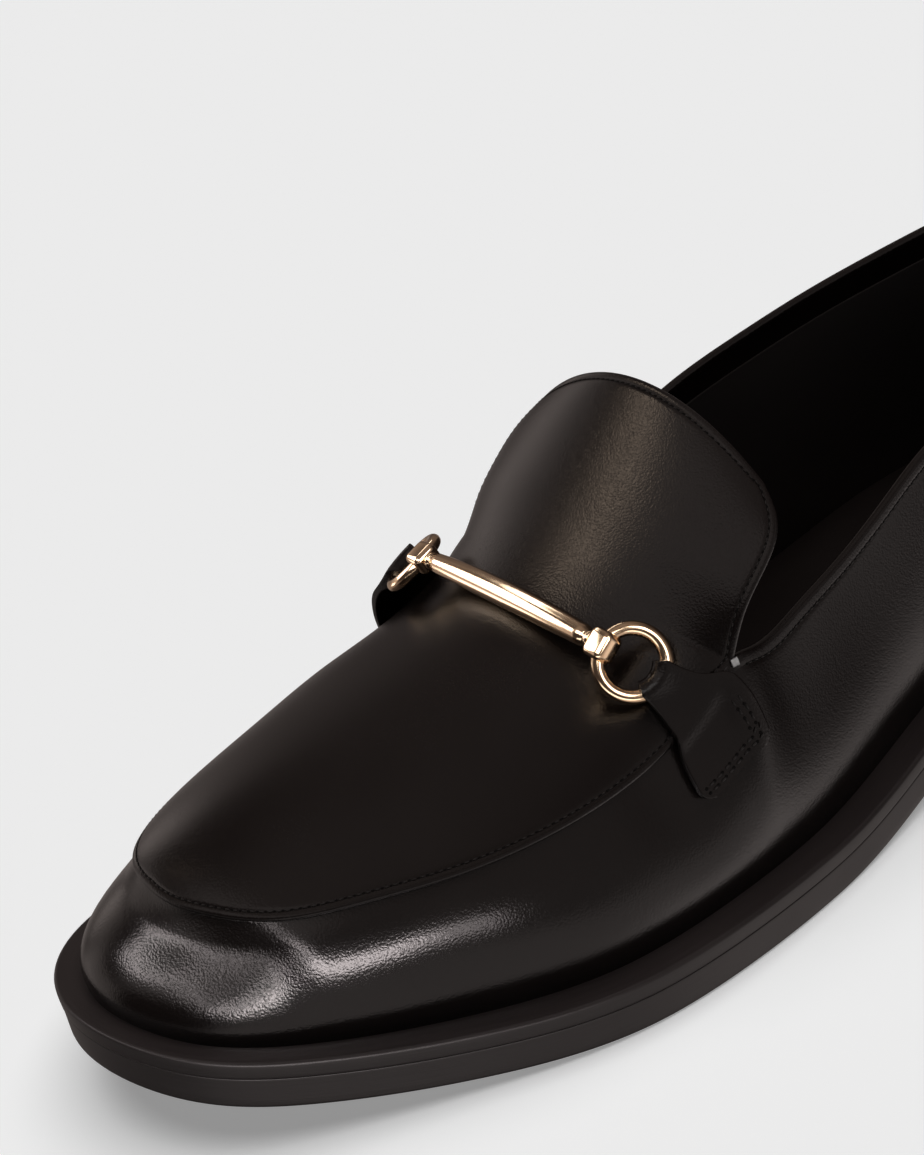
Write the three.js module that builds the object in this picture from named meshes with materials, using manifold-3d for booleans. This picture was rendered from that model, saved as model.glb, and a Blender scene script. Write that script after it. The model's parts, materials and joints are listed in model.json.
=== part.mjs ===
// A slip-on loafer for the left foot, in millimetres. The toe points to -Y, the heel to +Y, the outer side
// of the foot to +X, and the shoe stands on z = 0. The origin is under the middle of the sole.
import * as THREE from "three";
import Module from "manifold-3d";

const wasm = await Module();
wasm.setup();

// ---- sizes ----
const LENGTH = 274; // outsole, toe to heel
const BALL = 98.7; // outsole, across the ball
const RISE = 84.3; // floor to the tip of the tongue
const SOLE = 9.4; // outsole and welt together
const WELT = 3.1; // the top layer of the two
const SPRING = 13.6; // lift of the toe
const SPRING_END = 0.3066; // where the toe starts to lift
const HEEL = 12; // lift of the heel
const ARCH = [0.4416, 0.7555]; // where the sole leaves the floor, where it meets the heel
const BREAST = 0.765; // front face of the heel
const INSOLE = 3;
const SKIN = 2; // leather and lining
const LAP = 1; // the apron stands this much above the side
const LAP_WIDTH = 3.2; // margin of the side under the apron
const GAP = 0.3; // between two pieces that meet
const STEPS = 96; // corners round the shoe

// ---- the plan of the sole: share of the length, outer side and inner side as shares of the ball ----
const OUTLINE = [
  // along, outer, inner
  [0, -0.0339, null],
  [0.008, 0.0785, -0.1515],
  [0.0372, 0.2082, -0.273],
  [0.0942, 0.3095, -0.3825],
  [0.1737, 0.4048, -0.4656],
  [0.2701, 0.4889, -0.5],
  [0.3613, 0.5, -0.4737],
  [0.4635, 0.4656, -0.4078],
  [0.562, 0.4037, -0.3521],
  [0.6715, 0.347, -0.3267],
  [0.781, 0.3227, -0.3369],
  [0.8905, 0.2862, -0.3146],
  [0.9635, 0.1748, -0.2102],
  [1, -0.0177, null],
];
// How far the upper stands in from the edge of the sole, with the way its side rises from there: lean and
// slope in degrees, reach as a share of the height. The lean is out from the vertical at the foot of the
// side, the slope is down from the level at its upper edge.
const SIDE = [
  // along, ledge, lean, reach, slope, reach
  [0, 5.0, 14, 0.36, 44, 0.36],
  [0.0876, 4.7, 14, 0.36, 44, 0.36],
  [0.2153, 5.7, 12, 0.38, 50, 0.36],
  [0.3248, 6.0, 10, 0.38, 56, 0.34],
  [0.4234, 6.1, 8, 0.36, 70, 0.34],
  [0.5438, 6.4, 8, 0.36, 84, 0.34],
  [0.6898, 5.6, 12, 0.36, 88, 0.34],
  [0.8358, 5.1, 14, 0.36, 90, 0.34],
  [1, 5.0, 12, 0.36, 98, 0.34],
];
// Sections across the top of the shoe, from the toe to the corners of the throat: where the apron's seam
// lies on each side, the crest between, and the degrees of arc from the crest to the seam.
// x is a share of the ball, along of the length, z of the rise.
const APRON = [
  // outer x, along, z, inner x, along, z, crest along, z, arc
  [-0.0481, 0.0693, 0.427, -0.0481, 0.0693, 0.427, 0.0693, 0.427, 45],
  [0.1039, 0.0818, 0.427, -0.19, 0.0861, 0.4176, 0.0839, 0.4626, 45],
  [0.2163, 0.1109, 0.427, -0.2771, 0.1204, 0.4009, 0.1168, 0.5053, 45],
  [0.2862, 0.1555, 0.427, -0.3409, 0.1679, 0.395, 0.1642, 0.5362, 46],
  [0.344, 0.2077, 0.4259, -0.3916, 0.2226, 0.4033, 0.219, 0.5552, 48],
  [0.3713, 0.2591, 0.4259, -0.423, 0.2737, 0.4199, 0.2737, 0.5765, 50],
  [0.3723, 0.3157, 0.4294, -0.4271, 0.3212, 0.4389, 0.3175, 0.6002, 58],
  [0.3632, 0.3562, 0.4484, -0.423, 0.3577, 0.4674, 0.3431, 0.624, 64],
  [0.3642, 0.3861, 0.4982, -0.4169, 0.3869, 0.5101, 0.3595, 0.6501, 68],
  [0.3673, 0.4146, 0.5611, -0.4129, 0.4146, 0.5694, 0.3759, 0.688, 70],
];
// The same sections go on over the free tongue, up to its top edge.
const TONGUE = [
  [0.3703, 0.427, 0.6501, -0.4129, 0.427, 0.6501, 0.3978, 0.7473, 66],
  [0.3713, 0.4434, 0.7117, -0.4108, 0.4434, 0.7117, 0.4197, 0.8161, 60],
  [0.3673, 0.4591, 0.7639, -0.4027, 0.4591, 0.7639, 0.4409, 0.8849, 52],
  [0.345, 0.4704, 0.8066, -0.3804, 0.4704, 0.8066, 0.4599, 0.949, 46],
  [0.3014, 0.4777, 0.8493, -0.3369, 0.4777, 0.8493, 0.4752, 1, 40],
];
// The top line from the outer corner of the throat round the heel to the inner one.
const COLLAR = [
  // x, along, z
  [0.3632, 0.438, 0.5563],
  [0.3531, 0.4752, 0.5789],
  [0.3399, 0.5237, 0.6251],
  [0.3288, 0.5682, 0.6845],
  [0.3197, 0.6055, 0.7367],
  [0.3095, 0.6606, 0.7782],
  [0.2943, 0.7336, 0.8138],
  [0.266, 0.8139, 0.8458],
  [0.2102, 0.8978, 0.8814],
  [0.1039, 0.9507, 0.9087],
  [-0.0177, 0.9672, 0.9205],
  [-0.1393, 0.9507, 0.9087],
  [-0.2457, 0.8978, 0.8873],
  [-0.3034, 0.8047, 0.8541],
  [-0.3369, 0.735, 0.8185],
  [-0.3521, 0.6606, 0.7794],
  [-0.3571, 0.5887, 0.7331],
  [-0.3723, 0.5328, 0.6619],
  [-0.3906, 0.4818, 0.5955],
  [-0.4048, 0.4416, 0.5647],
];

// ---- the bit: a bar across the crest, with a saddle at each end that holds a ring ----
const BIT = { x: -1.5, section: 7.362, gap: 0.45, half: 26.75, arch: 0.8 };
const BAR = [
  // share of the way from the middle to the neck, radius
  [0, 2.05],
  [0.45, 1.98],
  [0.8, 1.82],
  [0.97, 1.7],
  [1, 1.45],
];
const NECK = { length: 1.7, radius: 1.25, collar: 1.6 };
const SADDLE = { along: 4.1, across: 4.6, thick: 3.9, round: 0.55 };
const RING = { middle: 5.85, wire: 1.05, steps: 28 };
// How each ring hangs: the way from its saddle to its middle, the way that it faces, and the degrees of it
// that its strap is folded round, from the point furthest from the saddle.
const HANG = {
  outer: { fall: [0.625, 0.505, -0.595], face: [0.777, -0.438, 0.452], fold: [-46, 34] },
  inner: { fall: [-0.89, 0.065, -0.5], face: [-0.409, -0.39, 0.812], fold: [-44, 44] },
};

// ---- the straps: a tab of leather over the seam, folded round the ring ----
// It starts at the ring's wire. Each row is a step from there down the side: the place across the top (over
// 1: down the side, as a share of its height), the sections at the front and rear edge, and the height of
// its underside.
const STRAP = { thick: 1.5, fold: 2.6 };
const TAB = {
  // down, front, rear, lift
  outer: [
    [0.87, 7.32, 8.46, 1.6],
    [0.94, 7.27, 8.6, 0.8],
    [1, 7.23, 8.76, 0.4],
    [1.08, 7.2, 8.92, 0.62],
    [1.18, 7.17, 9.02, 0.42],
    [1.28, 7.18, 9.06, 0.36],
    [1.35, 7.26, 9.02, 0.36],
    [1.385, 7.46, 8.86, 0.36],
  ],
  inner: [
    [0.83, 6.52, 7.94, 4.9],
    [0.91, 6.44, 8, 4.6],
    [1, 6.38, 8.1, 3.4],
    [1.08, 6.36, 8.24, 2.7],
    [1.18, 6.4, 8.42, 1.7],
    [1.28, 6.46, 8.54, 0.8],
    [1.36, 6.56, 8.5, 0.36],
    [1.395, 6.78, 8.34, 0.36],
  ],
};

// ---- curves ----
// The cubic through rows of numbers at the places x; with a period it closes on itself.
function cubic(x, rows, period = 0) {
  const n = x.length,
    cols = rows[0].length,
    next = (i) => (i + 1) % n,
    prev = (i) => (i + n - 1) % n,
    gap = (i) => (i < n - 1 ? x[i + 1] - x[i] : x[0] + period - x[i]);
  const a = rows.map((row, i) => {
    const line = new Array(n + cols).fill(0);
    if (!period && (i === 0 || i === n - 1)) {
      line[i] = 1;
      return line;
    }
    const [p, q, g, h] = [prev(i), next(i), gap(prev(i)), gap(i)];
    line[p] += g;
    line[i] += 2 * (g + h);
    line[q] += h;
    row.forEach(
      (y, c) =>
        (line[n + c] = 6 * ((rows[q][c] - y) / h - (y - rows[p][c]) / g)),
    );
    return line;
  });
  for (let i = 0; i < n; i++) {
    const best = a
      .slice(i)
      .reduce((b, line, k) => (Math.abs(line[i]) > Math.abs(a[i + b][i]) ? k : b), 0);
    [a[i], a[i + best]] = [a[i + best], a[i]];
    for (let k = 0; k < n; k++)
      if (k !== i && a[k][i]) {
        const f = a[k][i] / a[i][i];
        for (let j = i; j < n + cols; j++) a[k][j] -= f * a[i][j];
      }
  }
  const bend = a.map((line, i) => line.slice(n).map((v) => v / line[i]));
  return (t) => {
    if (period) t = x[0] + ((((t - x[0]) % period) + period) % period);
    let i = 0;
    while (i < (period ? n - 1 : n - 2) && t > x[i + 1]) i++;
    const h = gap(i),
      j = next(i),
      b = (t - x[i]) / h,
      c = 1 - b;
    return rows[i].map(
      (y, k) =>
        c * y +
        b * rows[j][k] +
        (((c ** 3 - c) * bend[i][k] + (b ** 3 - b) * bend[j][k]) * h * h) / 6,
    );
  };
}
const mix = (a, b, t) => a + (b - a) * t;
const clamp = (t) => Math.min(1, Math.max(0, t));
const smooth = (t) => clamp(t) ** 2 * (3 - 2 * clamp(t));
const range = (n) => [...Array(n).keys()];
const along = (y) => y / LENGTH + 0.5;
const point = (x, a, z) => [x * BALL, (a - 0.5) * LENGTH, z * RISE];
const vec = (x, y, z) => new THREE.Vector3(x, y, z);
const UP = vec(0, 0, 1);

// ---- the sole ----
const underside = (y) => {
  const a = along(y);
  return (
    SPRING * clamp((SPRING_END - a) / SPRING_END) ** 2 +
    HEEL * smooth((a - ARCH[0]) / (ARCH[1] - ARCH[0]))
  );
};
const corners = [
  ...OUTLINE.map((r) => point(r[1], r[0], 0)),
  ...OUTLINE.filter((r) => r[2] !== null)
    .reverse()
    .map((r) => point(r[2], r[0], 0)),
];
const chords = corners.map((p, i) =>
  Math.hypot(p[0] - corners.at(i - 1)[0], p[1] - corners.at(i - 1)[1]),
);
const whole = chords.reduce((a, b) => a + b);
let run = 0;
const plan = cubic(
  corners.map((p, i) => (i ? (run += chords[i]) / whole : 0)),
  corners,
  1,
);
// The edge of the sole at w, from 0 at the toe by the outer side and the heel to 1, and the way out of it.
function edge(w, inset = 0) {
  const p = plan(w),
    a = plan(w - 1e-4),
    b = plan(w + 1e-4),
    out = vec(b[1] - a[1], a[0] - b[0], 0).normalize();
  return { at: vec(p[0], p[1], 0).addScaledVector(out, -inset), out };
}
const near = range(2000).map((i) => edge(i / 2000).at);
const wayTo = (x, y) =>
  near.reduce(
    (best, p, i) =>
      (p.x - x) ** 2 + (p.y - y) ** 2 <
      (near[best].x - x) ** 2 + (near[best].y - y) ** 2
        ? i
        : best,
    0,
  ) / 2000;

// ---- the upper edge of the side: the apron's seam, then the top line ----
const outerSeam = APRON.map((r) => point(r[0], r[1], r[2])),
  innerSeam = APRON.map((r) => point(r[3], r[4], r[5]));
const rimPoints = [
  ...outerSeam,
  ...COLLAR.map((r) => point(...r)),
  ...innerSeam.slice(1).reverse(),
];
const rimAt = rimPoints.map((p) => wayTo(p[0], p[1]));
if (rimAt[0] > 0.5) rimAt[0] -= 1;
const rimCurve = cubic(rimAt, rimPoints, 1);
const rim = (w) => vec(...rimCurve(w));
const outerAt = rimAt.slice(0, APRON.length),
  innerAt = [rimAt[0] + 1, ...rimAt.slice(1 - APRON.length).reverse()];
const [THROAT_OUTER, THROAT_INNER] = [outerAt.at(-1), innerAt.at(-1)];
// 1 where the side goes under the apron, 0 at the open top line
const tucked = (w) => {
  w -= Math.floor(w);
  return Math.max(
    1 - smooth((w - THROAT_OUTER + 0.009) / 0.008),
    smooth((w - THROAT_INNER - 0.001) / 0.008),
  );
};

// ---- the side of the upper: w round the shoe, v from the sole (0) to the upper edge (1) ----
const sideCurve = cubic(
  SIDE.map((r) => r[0]),
  SIDE.map((r) => r.slice(1)),
);
function sideTop(w) {
  const top = rim(w),
    [, , , slope] = sideCurve(along(top.y)),
    { out } = edge(w),
    s = THREE.MathUtils.degToRad(slope),
    down = out.clone().multiplyScalar(Math.cos(s)).addScaledVector(UP, -Math.sin(s)),
    face = out.clone().multiplyScalar(Math.sin(s)).addScaledVector(UP, Math.cos(s));
  return { top: top.addScaledVector(face, -LAP * tucked(w)), down, face };
}
function side(w, v) {
  const { top, down } = sideTop(w),
    [, lean, foot, , head] = sideCurve(along(rim(w).y)),
    ledge = sideCurve(clamp(along(edge(w).at.y)))[0],
    { at, out } = edge(w, ledge),
    l = THREE.MathUtils.degToRad(lean);
  at.z = underside(at.y) + SOLE + GAP;
  const size = top.distanceTo(at),
    one = at
      .clone()
      .addScaledVector(out, size * foot * Math.sin(l))
      .addScaledVector(UP, size * foot * Math.cos(l)),
    two = top.clone().addScaledVector(down, size * head);
  return new THREE.CubicBezierCurve3(at, one, two, top).getPoint(v);
}
const faceOf = (f, u, v, du, dv) =>
  f(u + du, v).sub(f(u - du, v)).cross(f(u, v + dv).sub(f(u, v - dv))).normalize();
function sideFace(w, v) {
  return faceOf(side, w, Math.min(0.995, Math.max(0.005, v)), 1e-3, 5e-3);
}

// ---- the top: t section by section from the toe to the tongue's edge, s from inner (-1) to outer (1) ----
const sections = range(APRON.length + TONGUE.length),
  LAST = sections.length - 1,
  SEAMED = APRON.length - 1;
const outerWay = cubic(sections.slice(0, SEAMED + 1), outerAt.map((w) => [w])),
  innerWay = cubic(sections.slice(0, SEAMED + 1), innerAt.map((w) => [w])),
  crest = cubic(sections, [...APRON, ...TONGUE].map((r) => [...point(0, r[6], r[7]).slice(1), r[8]])),
  free = [APRON.at(-1), ...TONGUE],
  outerFree = cubic(sections.slice(SEAMED), free.map((r) => point(r[0], r[1], r[2]))),
  innerFree = cubic(sections.slice(SEAMED), free.map((r) => point(r[3], r[4], r[5])));
function ends(t) {
  return t <= SEAMED
    ? [rim(outerWay(t)[0]), rim(innerWay(t)[0])]
    : [vec(...outerFree(t)), vec(...innerFree(t))];
}
function top(t, s) {
  const [outer, inner] = ends(t),
    [y, z, arc] = crest(t),
    a = THREE.MathUtils.degToRad(arc),
    end = s >= 0 ? outer : inner,
    fall = (1 - Math.cos(s * a)) / (1 - Math.cos(a));
  return vec(
    mix((outer.x + inner.x) / 2, end.x, Math.sin(Math.abs(s) * a) / Math.sin(a)),
    mix(y, end.y, fall),
    mix(z, end.z, fall),
  );
}
function topFace(t, s) {
  const u = Math.min(LAST - 0.02, Math.max(0.05, t));
  return faceOf((a, b) => top(b, a), s, u, 1e-3, 1e-2);
}

// ---- solids ----
function body(points, faces) {
  const at = new Map(),
    list = [],
    id = points.map((p) => {
      const key = p.toArray().map((c) => Math.round(c * 1e3)).join();
      if (!at.has(key)) {
        at.set(key, list.length / 3);
        list.push(...p.toArray());
      }
      return at.get(key);
    }),
    tri = faces.map((f) => f.map((i) => id[i])).filter(([a, b, c]) => a !== b && b !== c && c !== a);
  const make = (flat) =>
    new wasm.Manifold(
      new wasm.Mesh({
        numProp: 3,
        vertProperties: new Float32Array(list),
        triVerts: new Uint32Array(flat),
      }),
    );
  const solid = make(tri.flat());
  return solid.volume() > 0 ? solid : make(tri.flatMap(([a, b, c]) => [a, c, b]));
}
// Closed loops of as many corners each, joined one to the next. The first and last are closed by strips
// across, or joined to each other.
function loft(loops, round = false) {
  const n = loops[0].length,
    m = loops.length,
    faces = [];
  for (let i = 0; i < (round ? m : m - 1); i++)
    for (let k = 0; k < n; k++) {
      const [a, b, c, d] = [i * n + k, i * n + ((k + 1) % n), ((i + 1) % m) * n + ((k + 1) % n), ((i + 1) % m) * n + k];
      faces.push([a, b, c], [a, c, d]);
    }
  if (!round)
    for (let k = 0; k < n / 2 - 1; k++)
      for (const [base, flip] of [[0, true], [(m - 1) * n, false]]) {
        const q = [k, k + 1, n - 2 - k, n - 1 - k].map((i) => base + i);
        if (flip) q.reverse();
        faces.push([q[0], q[1], q[2]], [q[0], q[2], q[3]]);
      }
  return body(loops.flat(), faces);
}
const nodes = new THREE.Group();
function piece(name, solid, material) {
  const { vertProperties, triVerts, numProp } = solid.getMesh();
  const xyz = new Float32Array((vertProperties.length / numProp) * 3);
  for (let i = 0; i < xyz.length / 3; i++)
    xyz.set(vertProperties.subarray(i * numProp, i * numProp + 3), i * 3);
  const g = new THREE.BufferGeometry()
    .setAttribute("position", new THREE.BufferAttribute(xyz, 3))
    .setIndex(new THREE.BufferAttribute(new Uint32Array(triVerts), 1));
  g.computeVertexNormals();
  const mesh = new THREE.Mesh(g, material);
  mesh.name = name;
  nodes.add(mesh);
}
const material = (name, color, roughness, metalness = 0) =>
  Object.assign(new THREE.MeshStandardMaterial({ color, roughness, metalness }), { name });
const calf = material("calf", 0x1b1817, 0.35),
  rubber = material("rubber", 0x222222, 0.6),
  lining = material("lining", 0x171514, 0.7),
  gold = material("gold", 0xd9a878, 0.18, 1);

// A layer of the sole: rows of how far in from the edge, and how high over the underside.
const ways = range(STEPS).map((k) => (k + 0.5) / STEPS);
function layer(rows, from = 0) {
  return loft(
    rows.map(([inset, z]) =>
      ways.map((w) => {
        const p = edge(w, inset).at;
        return p.setZ(underside(p.y) + z + from);
      }),
    ),
  );
}
piece(
  "outsole",
  layer([
    [1.6, 0],
    [0.5, 0.7],
    [0.2, 2],
    [0.2, SOLE - WELT - 1.1],
    [0.7, SOLE - WELT - GAP],
  ]),
  rubber,
);
piece(
  "welt",
  layer(
    [
      [0.7, 0],
      [0, 0.7],
      [0, WELT - 0.7],
      [0.6, WELT - 0.1],
      [1.4, WELT],
    ],
    SOLE - WELT,
  ),
  rubber,
);

// The heel follows the edge of the sole behind its straight front face.
const heelWays = ways.filter((w) => along(edge(w).at.y) > BREAST);
piece(
  "heel",
  loft(
    [
      [2.4, 0],
      [1.6, 0.8],
      [0.8, HEEL - GAP],
    ].map(([inset, z]) => heelWays.map((w) => edge(w, inset).at.setZ(z))),
  ),
  rubber,
);

const footWay = (w, inset) => {
  const ledge = sideCurve(clamp(along(edge(w).at.y)))[0];
  return edge(w, ledge + inset).at;
};
piece(
  "insole",
  loft(
    [
      [SKIN + 0.9, 0],
      [SKIN + 0.5, INSOLE - 0.5],
      [SKIN + 1.1, INSOLE],
    ].map(([inset, z]) =>
      ways.map((w) => {
        const p = footWay(w, inset);
        return p.setZ(underside(p.y) + SOLE + GAP + z);
      }),
    ),
  ),
  lining,
);

// The side is one band round the shoe. Its upper margin runs under the apron, or is folded at the top line.
const heights = [0, 0.15, 0.32, 0.5, 0.68, 0.84, 1];
const bandLoop = (w) => {
  const { top: high, down, face } = sideTop(w),
    f = tucked(w),
    outside = heights.map((v) => side(w, v)),
    inside = heights.map((v, i) => {
      const p = outside[i].clone().addScaledVector(sideFace(w, v), -SKIN);
      return i ? p : p.setZ(outside[0].z);
    }),
    tuck = high.clone().addScaledVector(down, -LAP_WIDTH).addScaledVector(face, -0.35),
    fold = high.clone().lerp(inside.at(-1), 0.28).addScaledVector(UP, 0.35),
    tuckIn = tuck.clone().addScaledVector(face, 0.35 - SKIN),
    foldIn = high.clone().lerp(inside.at(-1), 0.72).addScaledVector(UP, 0.35);
  return [...outside, fold.lerp(tuck, f), foldIn.lerp(tuckIn, f), ...inside.reverse()];
};
const band = loft(ways.map(bandLoop), true);
const rowsAt = [0.15, 0.5, ...range(2 * LAST - 1).map((i) => 1 + i / 2)];
const spread = range(19).map((i) => i / 9 - 1);
const plate = loft(
  rowsAt.map((t) => {
    const outside = spread.map((s) => top(t, s));
    return [
      ...outside,
      ...outside.map((p, i) => p.clone().addScaledVector(topFace(t, spread[i]), -SKIN)).reverse(),
    ];
  }),
);
piece("upper", band.add(plate), calf);

// ---- the bit ----
const [bitY, bitZ] = crest(BIT.section);
const barPath = (x) => vec(BIT.x + x, bitY, bitZ + BAR[0][1] + BIT.gap - BIT.arch * (x / BIT.half) ** 2);
const circle = (middle, a, b, radius, sides) =>
  range(sides).map((i) => {
    const q = (2 * Math.PI * (i + 0.5)) / sides;
    return middle.clone().addScaledVector(a, radius * Math.cos(q)).addScaledVector(b, radius * Math.sin(q));
  });
const slopeOf = (x) => barPath(x + 0.01).sub(barPath(x - 0.01)).normalize();
const ringOf = (m, hang) => {
  const fall = vec(...hang.fall).normalize(),
    face = vec(...hang.face).projectOnPlane(fall).normalize(),
    saddle = barPath(m * BIT.half),
    middle = saddle.clone().addScaledVector(fall, RING.middle);
  return { fall, face, saddle, middle, way: face.clone().cross(fall).normalize() };
};
// The wire of a ring, or the part of it between two angles from the point that is furthest from the saddle.
function wire({ middle, fall, way, face }, radius, sides, steps, part) {
  const whole = !part;
  return loft(
    range(whole ? steps : steps + 1).map((i) => {
      const q = whole ? (2 * Math.PI * i) / steps : THREE.MathUtils.degToRad(mix(...part, i / steps)),
        out = fall.clone().multiplyScalar(Math.cos(q)).addScaledVector(way, Math.sin(q));
      return circle(middle.clone().addScaledVector(out, RING.middle), out, face, radius, sides);
    }),
    whole,
  );
}
const neckStart = BIT.half - SADDLE.along / 2 - NECK.length;
const profile = BAR.map(([share, radius]) => [share * neckStart, radius]).concat([
  [neckStart + 0.15, NECK.radius],
  [neckStart + 0.75, NECK.radius],
  [neckStart + 0.85, NECK.collar],
  [neckStart + NECK.length - 0.1, NECK.collar],
  [BIT.half - 0.4, NECK.radius],
]);
const stations = [...profile.slice(1).reverse().map(([x, r]) => [-x, r]), ...profile];
let bar = loft(
  stations.map(([x, r]) => {
    const d = slopeOf(x);
    return circle(barPath(x), vec(0, 1, 0), d.clone().cross(vec(0, 1, 0)), r, 12);
  }),
);
const rings = { outer: ringOf(1, HANG.outer), inner: ringOf(-1, HANG.inner) };
for (const [name, ring] of Object.entries(rings)) {
  const m = name === "outer" ? 1 : -1,
    b = slopeOf(m * BIT.half).multiplyScalar(m),
    w = ring.way.clone().addScaledVector(b, -ring.way.dot(b)).normalize(),
    n = b.clone().cross(w),
    box = [
      [-SADDLE.across / 2, SADDLE.round],
      [SADDLE.round - SADDLE.across / 2, 0],
      [SADDLE.across / 2 - SADDLE.round, 0],
      [SADDLE.across / 2, SADDLE.round],
    ].map(([off, cut]) => {
      const [h, k, r] = [SADDLE.along / 2 - cut, SADDLE.thick / 2 - cut, SADDLE.round];
      return [
        [h - r, k], [h, k - r], [h, r - k], [h - r, -k],
        [r - h, -k], [-h, r - k], [-h, k - r], [r - h, k],
      ].map(([p, q]) =>
        ring.saddle.clone().addScaledVector(w, off).addScaledVector(b, p).addScaledVector(n, q),
      );
    });
  bar = bar.add(loft(box));
}
for (const ring of Object.values(rings)) bar = bar.subtract(wire(ring, RING.wire + GAP, 10, RING.steps));
piece("bit_bar", bar, gold);
piece("bit_ring_outer", wire(rings.outer, RING.wire, 8, RING.steps), gold);
piece("bit_ring_inner", wire(rings.inner, RING.wire, 8, RING.steps), gold);

// ---- the straps ----
function strap(name, m) {
  const ways = m > 0 ? outerWay : innerWay,
    ring = rings[name];
  const place = (down, t, lift) => {
    if (down <= 1) return top(t, m * down).addScaledVector(topFace(t, m * down), lift);
    const w = ways(Math.min(t, SEAMED + 0.06))[0];
    return side(w, 2 - down).addScaledVector(sideFace(w, 2 - down), lift);
  };
  const turns = m > 0 ? HANG[name].fold : [...HANG[name].fold].reverse(),
    fold = range(7).map((j) => {
      const q = THREE.MathUtils.degToRad(mix(...turns, j / 6));
      return ring.middle
        .clone()
        .addScaledVector(ring.fall, RING.middle * Math.cos(q))
        .addScaledVector(ring.way, RING.middle * Math.sin(q));
    });
  const tab = loft([
    [
      ...fold.map((p) => p.clone().addScaledVector(ring.face, STRAP.fold - 0.3)),
      ...fold.map((p) => p.clone().addScaledVector(ring.face, -STRAP.thick / 2)).reverse(),
    ],
    ...TAB[name].map(([down, front, rear, lift]) => {
      const across = range(7).map((j) => mix(front, rear, j / 6));
      return [
        ...across.map((t) => place(down, t, lift + STRAP.thick)),
        ...across.map((t) => place(down, t, lift)).reverse(),
      ];
    }),
  ]);
  return tab
    .add(wire(ring, STRAP.fold, 12, 8, HANG[name].fold))
    .subtract(wire(ring, RING.wire + GAP, 10, RING.steps));
}
piece("strap_outer", strap("outer", 1), calf);
piece("strap_inner", strap("inner", -1), calf);

export default nodes;
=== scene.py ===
"""A black calf loafer for the left foot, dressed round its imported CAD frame.

The shapes are worked out in millimetres, on the same curves as the part: toe to -Y, outer side of the foot
to +X, and the floor at z = 0. They turn into metres as each piece is made.
"""
import json
import math

import bmesh
import bpy
import numpy as np
from mathutils import Matrix, Vector

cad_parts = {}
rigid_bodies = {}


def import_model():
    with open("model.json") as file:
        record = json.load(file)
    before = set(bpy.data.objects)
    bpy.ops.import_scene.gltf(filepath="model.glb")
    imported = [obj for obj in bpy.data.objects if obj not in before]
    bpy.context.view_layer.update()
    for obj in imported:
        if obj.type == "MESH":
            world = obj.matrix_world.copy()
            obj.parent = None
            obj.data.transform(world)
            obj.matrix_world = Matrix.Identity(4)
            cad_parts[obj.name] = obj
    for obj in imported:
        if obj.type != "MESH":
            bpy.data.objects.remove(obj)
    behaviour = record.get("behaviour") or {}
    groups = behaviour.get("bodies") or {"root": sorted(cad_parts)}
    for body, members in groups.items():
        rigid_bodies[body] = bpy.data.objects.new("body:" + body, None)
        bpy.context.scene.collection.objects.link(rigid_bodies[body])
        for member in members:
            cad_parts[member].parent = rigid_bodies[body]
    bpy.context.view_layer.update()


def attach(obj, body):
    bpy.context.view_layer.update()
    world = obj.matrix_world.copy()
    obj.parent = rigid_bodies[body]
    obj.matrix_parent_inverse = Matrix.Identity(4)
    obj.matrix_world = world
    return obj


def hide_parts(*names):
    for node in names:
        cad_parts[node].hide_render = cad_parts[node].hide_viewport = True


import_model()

MM = 0.001

# The shoe's sizes and tables, as in the part
LENGTH, BALL, RISE = 274.0, 98.7, 84.3
SOLE, WELT, SPRING, SPRING_END = 9.4, 3.1, 13.6, 0.3066
HEEL, ARCH, BREAST = 12.0, (0.4416, 0.7555), 0.765
INSOLE, SKIN, LAP, LAP_WIDTH, GAP = 3.0, 2.0, 1.0, 3.2, 0.3

OUTLINE = [  # along, outer, inner
    (0, -0.0339, None), (0.008, 0.0785, -0.1515), (0.0372, 0.2082, -0.273),
    (0.0942, 0.3095, -0.3825), (0.1737, 0.4048, -0.4656), (0.2701, 0.4889, -0.5),
    (0.3613, 0.5, -0.4737), (0.4635, 0.4656, -0.4078), (0.562, 0.4037, -0.3521),
    (0.6715, 0.347, -0.3267), (0.781, 0.3227, -0.3369), (0.8905, 0.2862, -0.3146),
    (0.9635, 0.1748, -0.2102), (1, -0.0177, None)]
SIDE = [  # along, ledge, lean, reach, slope, reach
    (0, 5.0, 14, 0.36, 44, 0.36), (0.0876, 4.7, 14, 0.36, 44, 0.36),
    (0.2153, 5.7, 12, 0.38, 50, 0.36), (0.3248, 6.0, 10, 0.38, 56, 0.34),
    (0.4234, 6.1, 8, 0.36, 70, 0.34), (0.5438, 6.4, 8, 0.36, 84, 0.34),
    (0.6898, 5.6, 12, 0.36, 88, 0.34), (0.8358, 5.1, 14, 0.36, 90, 0.34),
    (1, 5.0, 12, 0.36, 98, 0.34)]
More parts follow.
